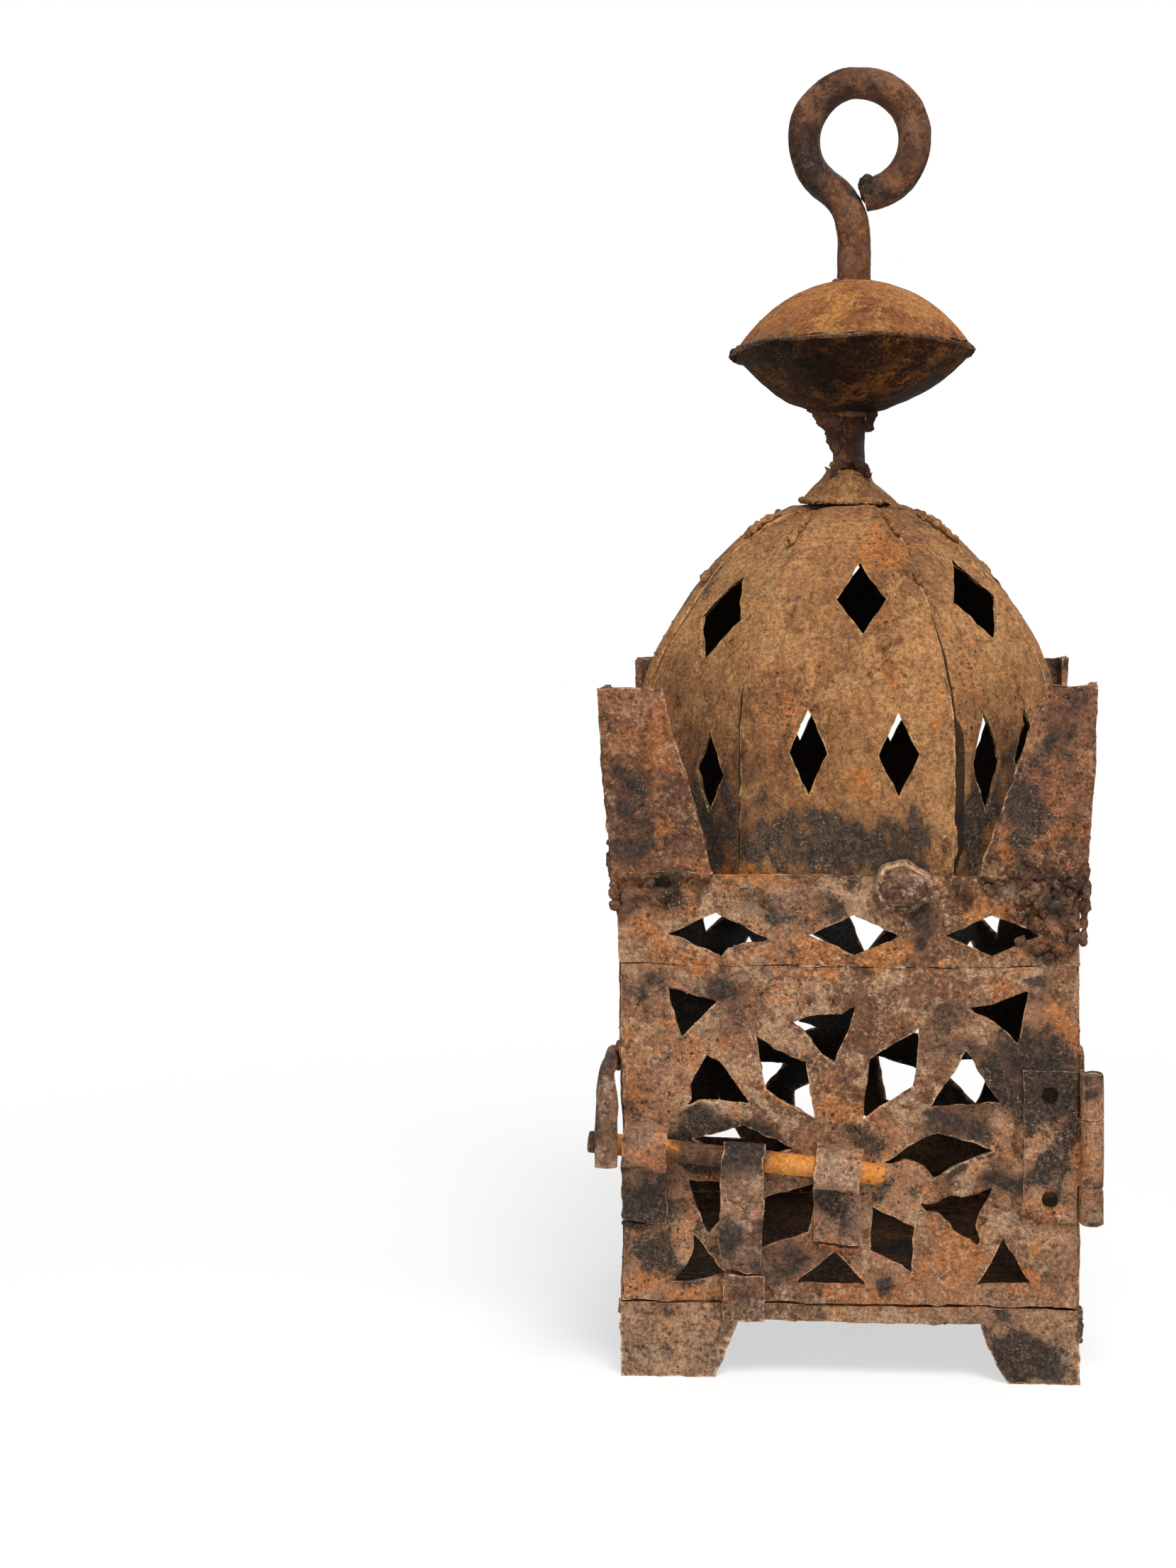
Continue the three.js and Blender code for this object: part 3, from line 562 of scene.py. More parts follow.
def rusted(
    name,
    tones,
    char="#1a1613 #4a3d33 #b0967b",
    bloom=0.5,
    dark=0.75,
    dust=0.5,
    relief=1.0,
    streak=(1, 1, 1),
    gloss=0.22,
    shine=0.2,
    relief_shading=1.0,
):
    """Iron rusted in the open for years.

    The eye sees brown that shifts over centimetres and darkens in blotches, a bloom of orange, pale ochre
    grit in patches, charcoal mill scale with pale specks where it is blackest, dark pits, edges worn pale and
    painted light as highlights, and a crusty grain that catches the light, with painted relief shading that
    lightens its raised crust and darkens its low parts. tones are the deep, middle and pale rust, the orange,
    the grit and the worn and highlighted edge. char is the scale, its grit and its specks.
    """
    deep, rust, pale, orange, ochre, edge = (linear(tone) for tone in tones.split())
    black, ash, speck = (linear(tone) for tone in char.split())
    material = bpy.data.materials.new(name)
    tree = cleared_tree(material)
    place = add(tree, "ShaderNodeTexCoord").outputs["Object"]
    above_ground = add(tree, "ShaderNodeSeparateXYZ", {"Vector": place}).outputs["Z"]
    drawn = add(tree, "ShaderNodeMapping", {"Vector": place, "Scale": streak}).outputs[0]
    marks = {
        title: add(tree, "ShaderNodeAttribute", attribute_name=title).outputs["Fac"]
        for title in ("soot_and_shade", "orange", "wear_and_highlight", "inner", "skylit", "painted_seam_shade")
    }

    # Fields of noise, with the size of their marks in millimetres
    fields = {}
    for title, vector, size, detail, rough, bent in (
        ("clouds", place, 58, 4.0, 0.6, 0.3),
        ("patches", place, 26, 6.0, 0.65, 0.6),
        ("bloom", drawn, 28, 8.0, 0.7, 0.8),
        ("blotches", drawn, 9.5, 8.0, 0.7, 0.4),
        ("mottle", drawn, 4.2, 6.0, 0.7, 0.5),
        ("grit", place, 2.0, 5.0, 0.72, 0.0),
        ("grain", place, 0.9, 2.0, 0.6, 0.0),
    ):
        settings = {"Vector": vector, "Scale": per(size), "Detail": detail}
        settings |= {"Roughness": rough, "Distortion": bent}
        fields[title] = add(tree, "ShaderNodeTexNoise", settings).outputs["Fac"]
    cells = {}
    for title, size, feature in (("pits", 3.0, "F1"), ("crust", 6.5, "SMOOTH_F1")):
        settings = {"Vector": place, "Scale": per(size)}
        cells[title] = add(tree, "ShaderNodeTexVoronoi", settings, feature=feature).outputs["Distance"]

    # Marks frayed by the noise, each as a sum of fields times their shares
    lifted = add(tree, "ShaderNodeMath", {0: marks["orange"], 1: 0.21}, operation="MULTIPLY").outputs[0]
    sums = {}
    for title, total, terms in (
        ("soot_and_shade", marks["soot_and_shade"], (("blotches", 3.2), ("mottle", 2.2), ("grit", 1.6))),
        ("pale", fields["patches"], (("blotches", 0.6), ("grit", 0.2))),
        ("bloom", lifted, (("bloom", 1.0), ("mottle", 0.5), ("grit", 0.3))),
        ("rubbed_and_lit", marks["wear_and_highlight"], (("grit", 0.8), ("mottle", 1.2), ("blotches", 1.3))),
        ("seam_shaded", marks["painted_seam_shade"], (("mottle", 0.5), ("grit", 0.4))),
    ):
        for field, share in terms:
            settings = {0: fields[field], 1: share, 2: total}
            total = add(tree, "ShaderNodeMath", settings, operation="MULTIPLY_ADD").outputs[0]
        sums[title] = total

    # Each mask rises from 0 to 1 as its field goes from the first number to the second
    masks = {}
    for title, field, low, high in (
        ("clouds", fields["clouds"], 0.38, 0.62),
        ("dark", fields["mottle"], 0.47, 0.29),
        ("pale", sums["pale"], 0.88, 1.02),
        ("bloom", sums["bloom"], 1.04 - 0.25 * bloom, 1.22 - 0.25 * bloom),
        ("grit", fields["grit"], 0.50, 0.66),
        ("grit_patches", fields["blotches"], 0.46, 0.60),
        ("speck", fields["grain"], 0.56, 0.70),
        ("soot_and_shade", sums["soot_and_shade"], 3.80, 4.45),
        ("pits", cells["pits"], 0.32, 0.12),
        ("pit_patches", fields["bloom"], 0.46, 0.62),
        ("rubbed_and_lit", sums["rubbed_and_lit"], 2.20, 2.65),
        ("seam_shaded", sums["seam_shaded"], 0.70, 1.10),
        ("low", above_ground, 50 * MM, 5 * MM),
        ("inner", marks["inner"], 0.1, 0.8),
        ("skylit", marks["skylit"], 0.1, 0.9),
        ("grain", fields["grain"], 0.30, 0.70),
        ("grit_tone", fields["grit"], 0.34, 0.66),
        ("mottle_tone", fields["mottle"], 0.32, 0.66),
    ):
        sockets = {"Value": field, "From Min": low, "From Max": high}
        masks[title] = add(tree, "ShaderNodeMapRange", sockets, interpolation_type="SMOOTHSTEP").outputs[0]
    for title, first, second in (
        ("pitted", "pits", "pit_patches"),
        ("dusty", "grit", "grit_patches"),
        ("specked", "speck", "pit_patches"),
        ("settled", "low", "grit_tone"),
    ):
        both = {0: masks[first], 1: masks[second]}
        masks[title] = add(tree, "ShaderNodeMath", both, operation="MULTIPLY").outputs[0]

    # Two stacks of colour, each from the bottom up: the charcoal scale, then the iron with the scale on it
    stacks = {"charcoal": black, "iron": deep}
    for stack, mask, share, tone in (
        ("charcoal", "grit_tone", 0.85, ash),
        ("charcoal", "specked", 0.7, speck),
        ("iron", "clouds", 1.0, rust),
        ("iron", "dark", dark, linear("#301f15")),
        ("iron", "pale", 0.75, pale),
        ("iron", "bloom", 0.85, orange),
        ("iron", "dusty", dust, ochre),
        ("iron", "specked", 0.7 * dust, ochre),
        ("iron", "settled", 0.55, linear("#b09a80")),
        ("iron", "soot_and_shade", 0.95, "charcoal"),
        ("iron", "pitted", 0.7, linear("#26170f")),
        # Painted highlight over wear: the cut edges made lighter
        ("iron", "rubbed_and_lit", 0.75, edge),
        # Painted shade: the dark line along the petals' laps and the slit
        ("iron", "seam_shaded", 0.9, linear("#1a110c")),
        # Painted shade on the faces turned to the lantern's inside
        ("iron", "inner", 0.95, linear("#0d0a08")),
        ("iron", "skylit", 0.7, linear("#5b5957")),
    ):
        amount = add(tree, "ShaderNodeMath", {0: masks[mask], 1: share}, operation="MULTIPLY").outputs[0]
        layers = {0: amount, 6: stacks[stack], 7: stacks[tone] if tone == "charcoal" else tone}
        stacks[stack] = add(tree, "ShaderNodeMix", layers, data_type="RGBA").outputs[2]
    colour = stacks["iron"]
    # Painted relief shading: the colour is lightened where the noise that raises the bump is high and
    # darkened where it is low
    for mask, share in (("mottle_tone", 0.28), ("grit_tone", 0.45), ("grain", 0.28)):
        relief_shade = {0: masks[mask], 6: linear("#505050"), 7: linear("#e4e4e4")}
        relief_shade = add(tree, "ShaderNodeMix", relief_shade, data_type="RGBA").outputs[2]
        layers = {0: share * relief_shading, 6: colour, 7: relief_shade}
        colour = add(tree, "ShaderNodeMix", layers, data_type="RGBA", blend_type="OVERLAY").outputs[2]

    # Dull all over, a little less so on the scale, and crusty
    roughness = {0: masks["soot_and_shade"], 1: -gloss, 2: rust_roughness}
    roughness = add(tree, "ShaderNodeMath", roughness, operation="MULTIPLY_ADD").outputs[0]
    height = 0.0
    for socket, share in (
        (fields["blotches"], 1.0),
        (fields["mottle"], 0.8),
        (fields["grit"], 0.7),
        (fields["grain"], 0.3),
        (cells["crust"], -0.4),
        (masks["pitted"], -0.5),
    ):
        raised_by = {0: socket, 1: share, 2: height}
        height = add(tree, "ShaderNodeMath", raised_by, operation="MULTIPLY_ADD").outputs[0]
    bump = {"Strength": relief, "Distance": crust_depth, "Height": height}
    bump = add(tree, "ShaderNodeBump", bump).outputs[0]
    surface = {"Base Color": colour, "Roughness": roughness}
    surface |= {"Specular IOR Level": shine, "Normal": bump}
    surface = add(tree, "ShaderNodeBsdfPrincipled", surface).outputs[0]
    add(tree, "ShaderNodeOutputMaterial", {"Surface": surface})
    return material


# Sheet iron of the body: brown rust with a grey cast, orange in patches
body_rust = rusted("rusted_sheet_iron", "#73503a #a87a5b #c29b78 #b2703e #dcbd99 #dcb187", bloom=0.55)
# Turret plate, by the flame: redder and darker than the body
turret_rust = rusted("red_rusted_turret_iron", "#5f4130 #8b5e43 #a67a59 #9f623a #c29e7d #c69a72", bloom=0.55)
# Dome sheet, rained on from above: paler, ochre rust that runs down in streaks
dome_rust = rusted(
    "ochre_rusted_sheet_iron",
    "#7f5535 #a17147 #b08253 #ab6630 #c39c69 #c69d68",
    bloom=0.4,
    dark=0.55,
    dust=0.2,
    relief=0.9,
    streak=(1, 1, 0.6),
)
# Bulb sheet: the same ochre rust, darker and warmer
bulb_rust = rusted(
    "warm_rusted_bulb_iron",
    "#754829 #965e32 #a8733c #a75e2a #bd8c54 #bd884e",
    bloom=0.4,
    dark=0.4,
    dust=0.3,
    relief=0.7,
)
# The bulb's underside, smoked almost black over dark rust, and painted darker still as the shade beneath it
smoked_and_shaded_rust = rusted(
    "smoked_and_shaded_bulb_iron",
    "#2a190e #4d2e14 #6b431e #7f4d1f #7d6145 #7a5330",
    char="#080605 #1c140e #8a7862",
    bloom=0.6,
    dust=0.2,
    shine=0.08,
)
# Bolt straps and guides, worn by hands: grey-brown, with edges worn pale and painted bright as highlights
strap_rust = rusted(
    "rubbed_strap_iron",
    "#6b4d3c #98745c #b8947a #b4744a #ceb294 #d6ab80",
    bloom=0.5,
    relief=0.8,
    gloss=0.3,
)
# Forged bar, bent hot and handled: dark brown scale with a dull gloss
bar_iron = rusted(
    "forged_bar_iron",
    "#38251a #624230 #7d573f #8a522d #93704f #8a5c3c",
    char="#140e0a #362921 #8a7462",
    bloom=0.5,
    shine=0.12,
    dust=0.2,
    relief=0.5,
    gloss=0.42,
    relief_shading=0.7,
)
# Bolt rod: bright orange where it rubs in its guides
bolt_rust = rusted(
    "rubbed_bolt_iron",
    "#9f5c2c #bd7732 #cf8f4c #c97b2c #d3a56c #d08a3e",
    char="#2b1b11 #5e4330 #a98460",
    bloom=0.6,
    dark=0.3,
    dust=0.3,
    relief=0.4,
    relief_shading=0.6,
)
# Weld metal left rough: dark beads gone brown and orange
weld_iron = rusted("weld_bead_iron", "#553a2b #8c6045 #ab8160 #aa6438 #cbab88 #bd8c60", bloom=0.6, relief=1.2)
# Plate inside, where wax and ash lay: dark brown with ochre streaks from side to side
floor_rust = rusted(
    "floor_plate_iron",
    "#2f1c11 #57351e #7d4f2e #9a6034 #94704b #7a4f30",
    bloom=0.5,
    dark=0.5,
    streak=(0.14, 1, 1),
)

# Geometry Nodes: crumbs of scale on sheet, and weld beads along a line


def node_group(name, floats):
    """A Geometry Nodes group that takes geometry, numbers, a seed and a finish, and gives geometry."""
    tree = bpy.data.node_groups.new(name, "GeometryNodeTree")
    sockets = [("Geometry", "NodeSocketGeometry")] + [(title, "NodeSocketFloat") for title in floats]
    for title, kind in sockets + [("Seed", "NodeSocketInt"), ("Finish", "NodeSocketMaterial")]:
        tree.interface.new_socket(title, in_out="INPUT", socket_type=kind)
    tree.interface.new_socket("Geometry", in_out="OUTPUT", socket_type="NodeSocketGeometry")
    return tree, add(tree, "NodeGroupInput").outputs


def roughened(tree, geometry, size, amount, finish):
    """Ends a group: noise marks of a size in millimetres, pushed in by an amount, then the finish."""
    place = add(tree, "GeometryNodeInputPosition").outputs[0]
    noise = {"Vector": place, "Scale": per(size), "Detail": 3.0}
    noise = add(tree, "ShaderNodeTexNoise", noise).outputs["Color"]
    moved = {0: noise, 1: (0.5, 0.5, 0.5)}
    moved = add(tree, "ShaderNodeVectorMath", moved, operation="SUBTRACT").outputs[0]
    moved = add(tree, "ShaderNodeVectorMath", {0: moved, "Scale": amount}, operation="SCALE").outputs[0]
    rough = add(tree, "GeometryNodeSetPosition", {"Geometry": geometry, "Offset": moved}).outputs[0]
    smooth = add(tree, "GeometryNodeSetShadeSmooth", {"Geometry": rough}).outputs[0]
    whole = add(tree, "GeometryNodeRealizeInstances", {"Geometry": smooth}).outputs[0]
    done = add(tree, "GeometryNodeSetMaterial", {"Geometry": whole, "Material": finish}).outputs[0]
    add(tree, "NodeGroupOutput", {0: done})


def scab_tree():
    """Flat crumbs of scale scattered in patches over the outer faces of a sheet."""
    tree, given = node_group("scale_scabs", ("Density", "Crumb"))
    place = add(tree, "GeometryNodeInputPosition").outputs[0]
    patches = {"Vector": place, "Scale": per(24), "Detail": 3.0}
    patches = add(tree, "ShaderNodeTexNoise", patches).outputs["Fac"]
    bare = add(tree, "GeometryNodeInputNamedAttribute", {"Name": "bare"}, data_type="FLOAT").outputs[0]
    grown = {"Value": patches, "From Min": 0.50, "From Max": 0.66, "To Max": given["Density"]}
    grown = add(tree, "ShaderNodeMapRange", grown).outputs[0]
    kept = {"Value": bare, "From Max": 0.05, "To Min": 1.0, "To Max": 0.0}
    kept = add(tree, "ShaderNodeMapRange", kept).outputs[0]
    density = add(tree, "ShaderNodeMath", {0: grown, 1: kept}, operation="MULTIPLY").outputs[0]
    spread = {"Mesh": given["Geometry"], "Density": density, "Seed": given["Seed"]}
    spread = add(tree, "GeometryNodeDistributePointsOnFaces", spread).outputs
    size = {0: (0.4, 0.4, 0.25), 1: (1.7, 1.7, 0.8), "Seed": given["Seed"]}
    size = add(tree, "FunctionNodeRandomValue", size, data_type="FLOAT_VECTOR").outputs[0]
    ball = {"Radius": given["Crumb"], "Subdivisions": 2}
    ball = add(tree, "GeometryNodeMeshIcoSphere", ball).outputs["Mesh"]
    laid = {"Points": spread["Points"], "Instance": ball, "Rotation": spread["Rotation"], "Scale": size}
    laid = add(tree, "GeometryNodeInstanceOnPoints", laid).outputs[0]
    laid = add(tree, "GeometryNodeRealizeInstances", {"Geometry": laid}).outputs[0]
    roughened(tree, laid, 1.2, given["Crumb"], given["Finish"])
    return tree


def bead_tree():
    """A row of uneven lumps along a line, melted into one bead."""
    tree, given = node_group("weld_beads", ("Bead Radius", "Spacing", "Unevenness"))
    line = add(tree, "GeometryNodeMeshToCurve", {"Mesh": given["Geometry"]}).outputs[0]
    stops = add(tree, "GeometryNodeCurveToPoints", {"Curve": line, "Length": given["Spacing"]}, mode="LENGTH")
    share = {2: 0.62, 3: 1.25, "Seed": given["Seed"]}
    share = add(tree, "FunctionNodeRandomValue", share, data_type="FLOAT").outputs[1]
    radius = add(tree, "ShaderNodeMath", {0: share, 1: given["Bead Radius"]}, operation="MULTIPLY").outputs[0]
    voxel = add(tree, "ShaderNodeMath", {0: given["Bead Radius"], 1: 0.22}, operation="MULTIPLY").outputs[0]
    melt = {"Points": stops.outputs[0], "Density": 1.0, "Voxel Size": voxel, "Radius": radius}
    melt = add(tree, "GeometryNodePointsToVolume", melt, resolution_mode="VOXEL_SIZE").outputs[0]
    skin = {"Volume": melt, "Voxel Size": voxel, "Threshold": 0.5}
    skin = add(tree, "GeometryNodeVolumeToMesh", skin, resolution_mode="VOXEL_SIZE").outputs[0]
    roughened(tree, skin, 3.2, given["Unevenness"], given["Finish"])
    return tree


def run_tree(tree, obj, values, name):
    """Runs a Geometry Nodes tree on an object and returns the result as a plain mesh object."""
    modifier = obj.modifiers.new("made", "NODES")
    modifier.node_group = tree
    sockets = {item.name: item.identifier for item in tree.interface.items_tree if item.in_out == "INPUT"}
    for title, value in values.items():
        modifier[sockets[title]] = value
    graph = bpy.context.evaluated_depsgraph_get()
    mesh = bpy.data.meshes.new_from_object(obj.evaluated_get(graph))
    obj.modifiers.remove(modifier)
    return new_object(name, mesh)


def finish_piece(obj, body, smoke=0.0):
    """Keeps a made piece inside the CAD's box, gives it its blackening from scale, smoke and painted shade,
    and lets it ride a body.
    """
    points = np.empty(len(obj.data.vertices) * 3)
    obj.data.vertices.foreach_get("co", points)
    points = np.clip(points.reshape(-1, 3), cad_low, cad_high)
    obj.data.vertices.foreach_set("co", points.reshape(-1))
    for title in ("soot_and_shade", "bare", "wear_and_highlight"):
        if title in obj.data.attributes:
            obj.data.attributes.remove(obj.data.attributes[title])
    values = soot_and_shade(points, smoke).astype(np.float32)
    obj.data.attributes.new("soot_and_shade", "FLOAT", "POINT").data.foreach_set("value", values)
    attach(obj, body)


scab_nodes = scab_tree()
bead_nodes = bead_tree()

# Petals: the wide ones lap over the narrow ones and hug them, but for the front one's right rim. Below the
# seam's foot, in millimetres, the rims are free of each other
seam_foot = 352


def petal_bend(number):
    """How a petal's rims and cut-outs are moved, and where shade is painted along its seams.

    Even numbers are the wide petals.
    """
    side, turn = petal_sides[number], math.radians(45 * number)
    outwards = np.array([math.sin(turn), -math.cos(turn), 0.15])
    along = np.array([math.cos(turn), math.sin(turn), 0])

    def bend(points, normals, edge):
        local = from_axis(points)
        across, height = local @ along, local[:, 2]
        free = np.clip((seam_foot - height) / 30, 0, 1)
        out = local[:, 0] * math.sin(turn) - local[:, 1] * math.cos(turn)
        if number % 2:
            to_rim = out * math.tan(math.radians(45 - petal_half_angle)) - np.abs(across)
            near = np.clip(1 - to_rim / 6, 0, 1)
            move = (near * 0.3 * ~edge)[:, None] * normals
            # Painted shade: a dark line along the rims lapped by the wide petals, widened into a dark slit
            # beside the front petal's right rim
            reach = 2.8 + (side == "front_left") * (across > 0) * 1.2
            if side == "front_right":
                slit = np.clip((height - 226) / 8, 0, 1) * np.clip((292 - height) / 8, 0, 1)
                reach = reach + (across < 0) * (4.2 * slit + 2.2 * free)
            if side == "front_left":
                drawn = np.clip((32 - np.abs(height - 333)) / 10, 0, 1) * np.clip((to_rim - 1) / 6, 0, 1)
                move = move + 4.2 * drawn[:, None] * along
            return move, np.clip((reach - to_rim) / 1.2, 0, 1)
        to_rim = out * math.tan(math.radians(petal_half_angle)) + petal_lap - np.abs(across)
        lift = -0.75 * np.clip(4.4 - to_rim, 0, 4.4)
        move = np.zeros_like(points)
        if side == "front":
            standing = free * (across > 0)
            lifted = 0.9 * np.clip(1 - to_rim / 9, 0, 1) ** 2
            lift = lift * (1 - standing) + lifted * standing
            move, _ = hand_cut(points)
        return move + lift[:, None] * outwards, np.zeros(len(points))

    return bend


def flared(points, *_):
    """Spreads the collar's foot over the petals' tips, most to the right."""
    local = (points - np.array([axis_x, axis_y, dome_top])) / MM
    foot = np.clip(1 - local[:, 2] / 9, 0, 1) ** 1.5
    outwards = local * (1, 1, 0) / np.maximum(np.hypot(local[:, 0], local[:, 1]), 1)[:, None]
    wide = 2.0 + 3.0 * np.clip(local[:, 0] / 20, -0.3, 1)
    return (foot * wide)[:, None] * (outwards - np.array([0, 0, 0.5])), np.zeros(len(points))


def rolled(points, *_):
    """Tips the bulb's halves a little to the left, as they were set on the bar."""
    move = np.zeros_like(points)
    move[:, 2] = bulb_roll * (points[:, 0] - axis_x) / MM
    return move, np.zeros(len(points))


def drawn_in(points, *_):
    """Draws the hook broader, nearer to the wall and shorter at its tip."""
    local = from_axis(points)
    hanging = np.clip((136 - local[:, 2]) / 12, 0, 1) * np.clip((-104 - local[:, 1]) / 4 + 1, 0, 1)
    middle = (local[:, 0].min() + local[:, 0].max()) / 2
    move = np.zeros_like(points)
    move[:, 0] = hanging * (2.3 + 0.45 * (local[:, 0] - middle))
    move[:, 2] = 2.4 * np.clip((local[:, 2].min() + 14 - local[:, 2]) / 14, 0, 1)
    return move, np.zeros(len(points))


def plumb(shift):
    """Sets a bolt guide's tail upright under its loop, and shifts the guide to the right."""

    def bend(points, *_):
        below = np.clip((points[:, 2].max() - points[:, 2]) / MM - 19, 0, None)
        move = np.zeros_like(points)
        move[:, 0] = shift + 0.1 * below
        return move, np.zeros(len(points))

    return bend


# Pieces of the body
sheet_wear = dict(bow=0.35, ragged=0.5, thin=0.15, inside_shade=1)
for side in ("left", "right", "back"):
    forged(f"{side}_wall", "brown_rust", body_rust, 4.5, skin=0.1, crumbs=4, **sheet_wear)
for side in ("front", "left", "right", "back"):
    forged(f"{side}_skirt", "brown_rust", body_rust, 3.4, skin=0.12, crumbs=5, **sheet_wear)
forged("front_band", "brown_rust", body_rust, 2.4, skin=0.16, crumbs=9, bend=hand_cut, **sheet_wear)
door_wear = dict(sheet_wear, inside_shade=0.55)
forged("door_panel", "brown_rust", body_rust, 2.8, skin=0.14, crumbs=7, bend=hand_cut, **door_wear)
forged("floor_plate", "brown_rust", floor_rust, 9, skin=0.1)
for corner in ("front_left", "front_right", "back_left", "back_right"):
    name = f"{corner}_turret"
    forged(name, "rust", turret_rust, 2.6, bow=0.6, bow_span=45, ragged=0.6, skin=0.18, thin=0.2, crumbs=7)

# Dome, collar and bulb
for number, side in enumerate(petal_sides):
    name, bend = f"{side}_petal", petal_bend(number)
    dome_wear = dict(bow=0.4, bow_span=40, ragged=0.35, skin=0.13, soft=14, inside_shade=1, crumbs=3.5)
    forged(name, "rust", dome_rust, 2.3, bend=bend, **dome_wear)
forged("dome_collar", "rust", dome_rust, 1.8, bow=0.7, bow_span=12, ragged=0.8, skin=0.3, soft=6, bend=flared)
bulb_wear = dict(bow=0.6, bow_span=26, ragged=0.4, soft=20, bend=rolled)
forged("bulb_upper", "rust", bulb_rust, 3, skin=0.12, crumbs=2, **bulb_wear)
# The bulb's underside: smoke, with painted shade
forged("bulb_lower", "rust", smoked_and_shaded_rust, 2.5, skin=0.15, smoke=0.62, crumbs=6, **bulb_wear)
forged("hanging_bar", "dark_iron", bar_iron, 2.2, bow=0.35, bow_span=22, skin=0.16, soft=16, smoke=0.15)

# Hinge, bolt and hook
for leaf in ("wall", "door"):
    forged(f"hinge_{leaf}_leaf", "brown_rust", body_rust, 1.6, ragged=0.3, skin=0.1, soft=4, thin=0.1)
for guide, shift in (("left", 0.8), ("right", 0.0)):
    guide_wear = dict(bow=0.12, bow_span=12, ragged=0.5, skin=0.1, soft=6, thin=0.1)
    forged(f"{guide}_bolt_guide", "rust", strap_rust, 1.4, bend=plumb(shift), **guide_wear)
forged("door_stop", "rust", strap_rust, 1.8, bow=0.2, bow_span=12, ragged=0.5, skin=0.12, thin=0.2)
forged("bolt_strap", "rust", strap_rust, 1.6, bow=0.15, bow_span=18, ragged=0.6, skin=0.12, soft=4, thin=0.15)
forged("bolt_hook", "brown_rust", strap_rust, 1.5, bow=0.2, bow_span=10, skin=0.14, soft=12, bend=drawn_in)
forged("bolt_rod", "worn_iron", bolt_rust, 1.6, bow=0.06, bow_span=16, skin=0.06, soft=4)

for part in frame["record"]["subparts"]:
    if "rivet" in part["node"]:
        forged(part["node"], part["material_slot"], smoked_and_shaded_rust, 0.9, skin=0.1, soft=3, smoke=0.8)

# The hinge pin keeps its CAD shape and takes a finish
for obj in frame["nodes"].values():
    obj.data.materials.clear()
    obj.data.materials.append(strap_rust)


# Welds


def weld(name, body, radius, *lines, spacing=0.75, uneven=1.0, finish=weld_iron, smoke=0.0):
    """Weld metal along lines of points, melted into one piece that rides a body."""
    points = [tuple(p) for line in lines for p in line]
    edges = []
    for number, line in enumerate(lines):
        start = len(edges) + number
        edges += [(start + i, start + i + 1) for i in range(len(line) - 1)]
    mesh = bpy.data.meshes.new(name)
    mesh.from_pydata(points, edges, [])
    path = new_object(name + "_path", mesh)
    values = {
        "Bead Radius": radius * MM,
        "Spacing": spacing * radius * MM,
        "Unevenness": uneven * radius * MM,
        "Seed": len(name),
        "Finish": finish,
    }
    made = run_tree(bead_nodes, path, values, name)
    bpy.data.objects.remove(path)
    finish_piece(made, body, smoke)


def ring(place, radius, start=0.0, end=360.0, steps=20):
    """Points of an arc about an axis, in millimetres and degrees."""
    turns = [math.radians(start + (end - start) * i / steps) for i in range(steps + 1)]
    return [place @ Vector((radius * math.cos(a) * MM, radius * math.sin(a) * MM, 0)) for a in turns]


def raised(place, up):
    return place @ Matrix.Translation((0, 0, up * MM))


# Turret feet on the band and the walls' top edge
weld(
    "front_left_turret_weld",
    "lantern",
    2.8,
    [at(-101, -101.8, 224), at(-90, -102, 223), at(-78, -101.8, 224.5), at(-61, -101.6, 223.6)],
    [at(-101, -100.6, 210), at(-101.6, -101, 220), at(-102, -101.4, 229), at(-102, -101, 237)],
    [at(-101.8, -98, 224), at(-102, -78, 224), at(-101.6, -62, 223.6)],
    uneven=1.3,
)
weld(
    "front_left_turret_lump",
    "lantern",
    2.9,
    ring(Matrix.Translation(at(-80, -101.6, 221)) @ Matrix.Rotation(math.pi / 2, 4, "X"), 6),
    [at(-96, -101, 214), at(-88, -101.4, 216), at(-82, -101.4, 211)],
    [at(-98, -101, 206), at(-95, -101, 210)],
    uneven=1.4,
)
weld(
    "front_right_turret_weld",
    "lantern",
    2.3,
    [at(62, -102, 223.8), at(78, -102.4, 224), at(102, -102.6, 225)],
    [at(102.4, -98, 224), at(102.6, -78, 224), at(102, -62, 223.6)],
    [at(102.6, -101, 228), at(102.4, -101, 214), at(102, -100.6, 202), at(101.4, -100.4, 194)],
    uneven=1.3,
)
weld(
    "front_right_turret_lump",
    "lantern",
    3.3,
    [at(69, -101, 223), at(76, -101.6, 227), at(80, -101, 218), at(88, -101.6, 224), at(93, -101, 214)],
    [at(74, -101, 214), at(81, -101.4, 216), at(85, -101, 208), at(93, -101.4, 212), at(98, -101, 203)],
    [at(79, -102, 230), at(86, -102.4, 227), at(94, -102.4, 231), at(99, -102.4, 222)],
    [at(75, -100.2, 195), at(81, -100.6, 191.5), at(87, -100.4, 195), at(95, -100.4, 192)],
    [at(97, -101, 217), at(94, -101, 208), at(98, -101, 197)],
    [at(81, -100.4, 203), at(86, -100.6, 200)],
    spacing=1.1,
    uneven=1.7,
)
weld(
    "front_right_turret_crust",
    "lantern",
    2.0,
    [at(58, -101, 221), at(63, -101, 217), at(66, -101, 221)],
    [at(70, -101, 209), at(74, -101, 206), at(78, -101, 209)],
    [at(86, -100.6, 188), at(91, -100.6, 190)],
    [at(48, -101, 217), at(53, -101, 214)],
    spacing=1.2,
    uneven=1.7,
)
for side, x in (("back_left", -1), ("back_right", 1)):
    weld(
        f"{side}_turret_weld",
        "lantern",
        2.0,
        [at(x * 102.6, 102.4, 224.6), at(x * 60, 102, 223.8)],
        [at(x * 102.4, 98, 224.4), at(x * 102, 62, 223.8)],
    )

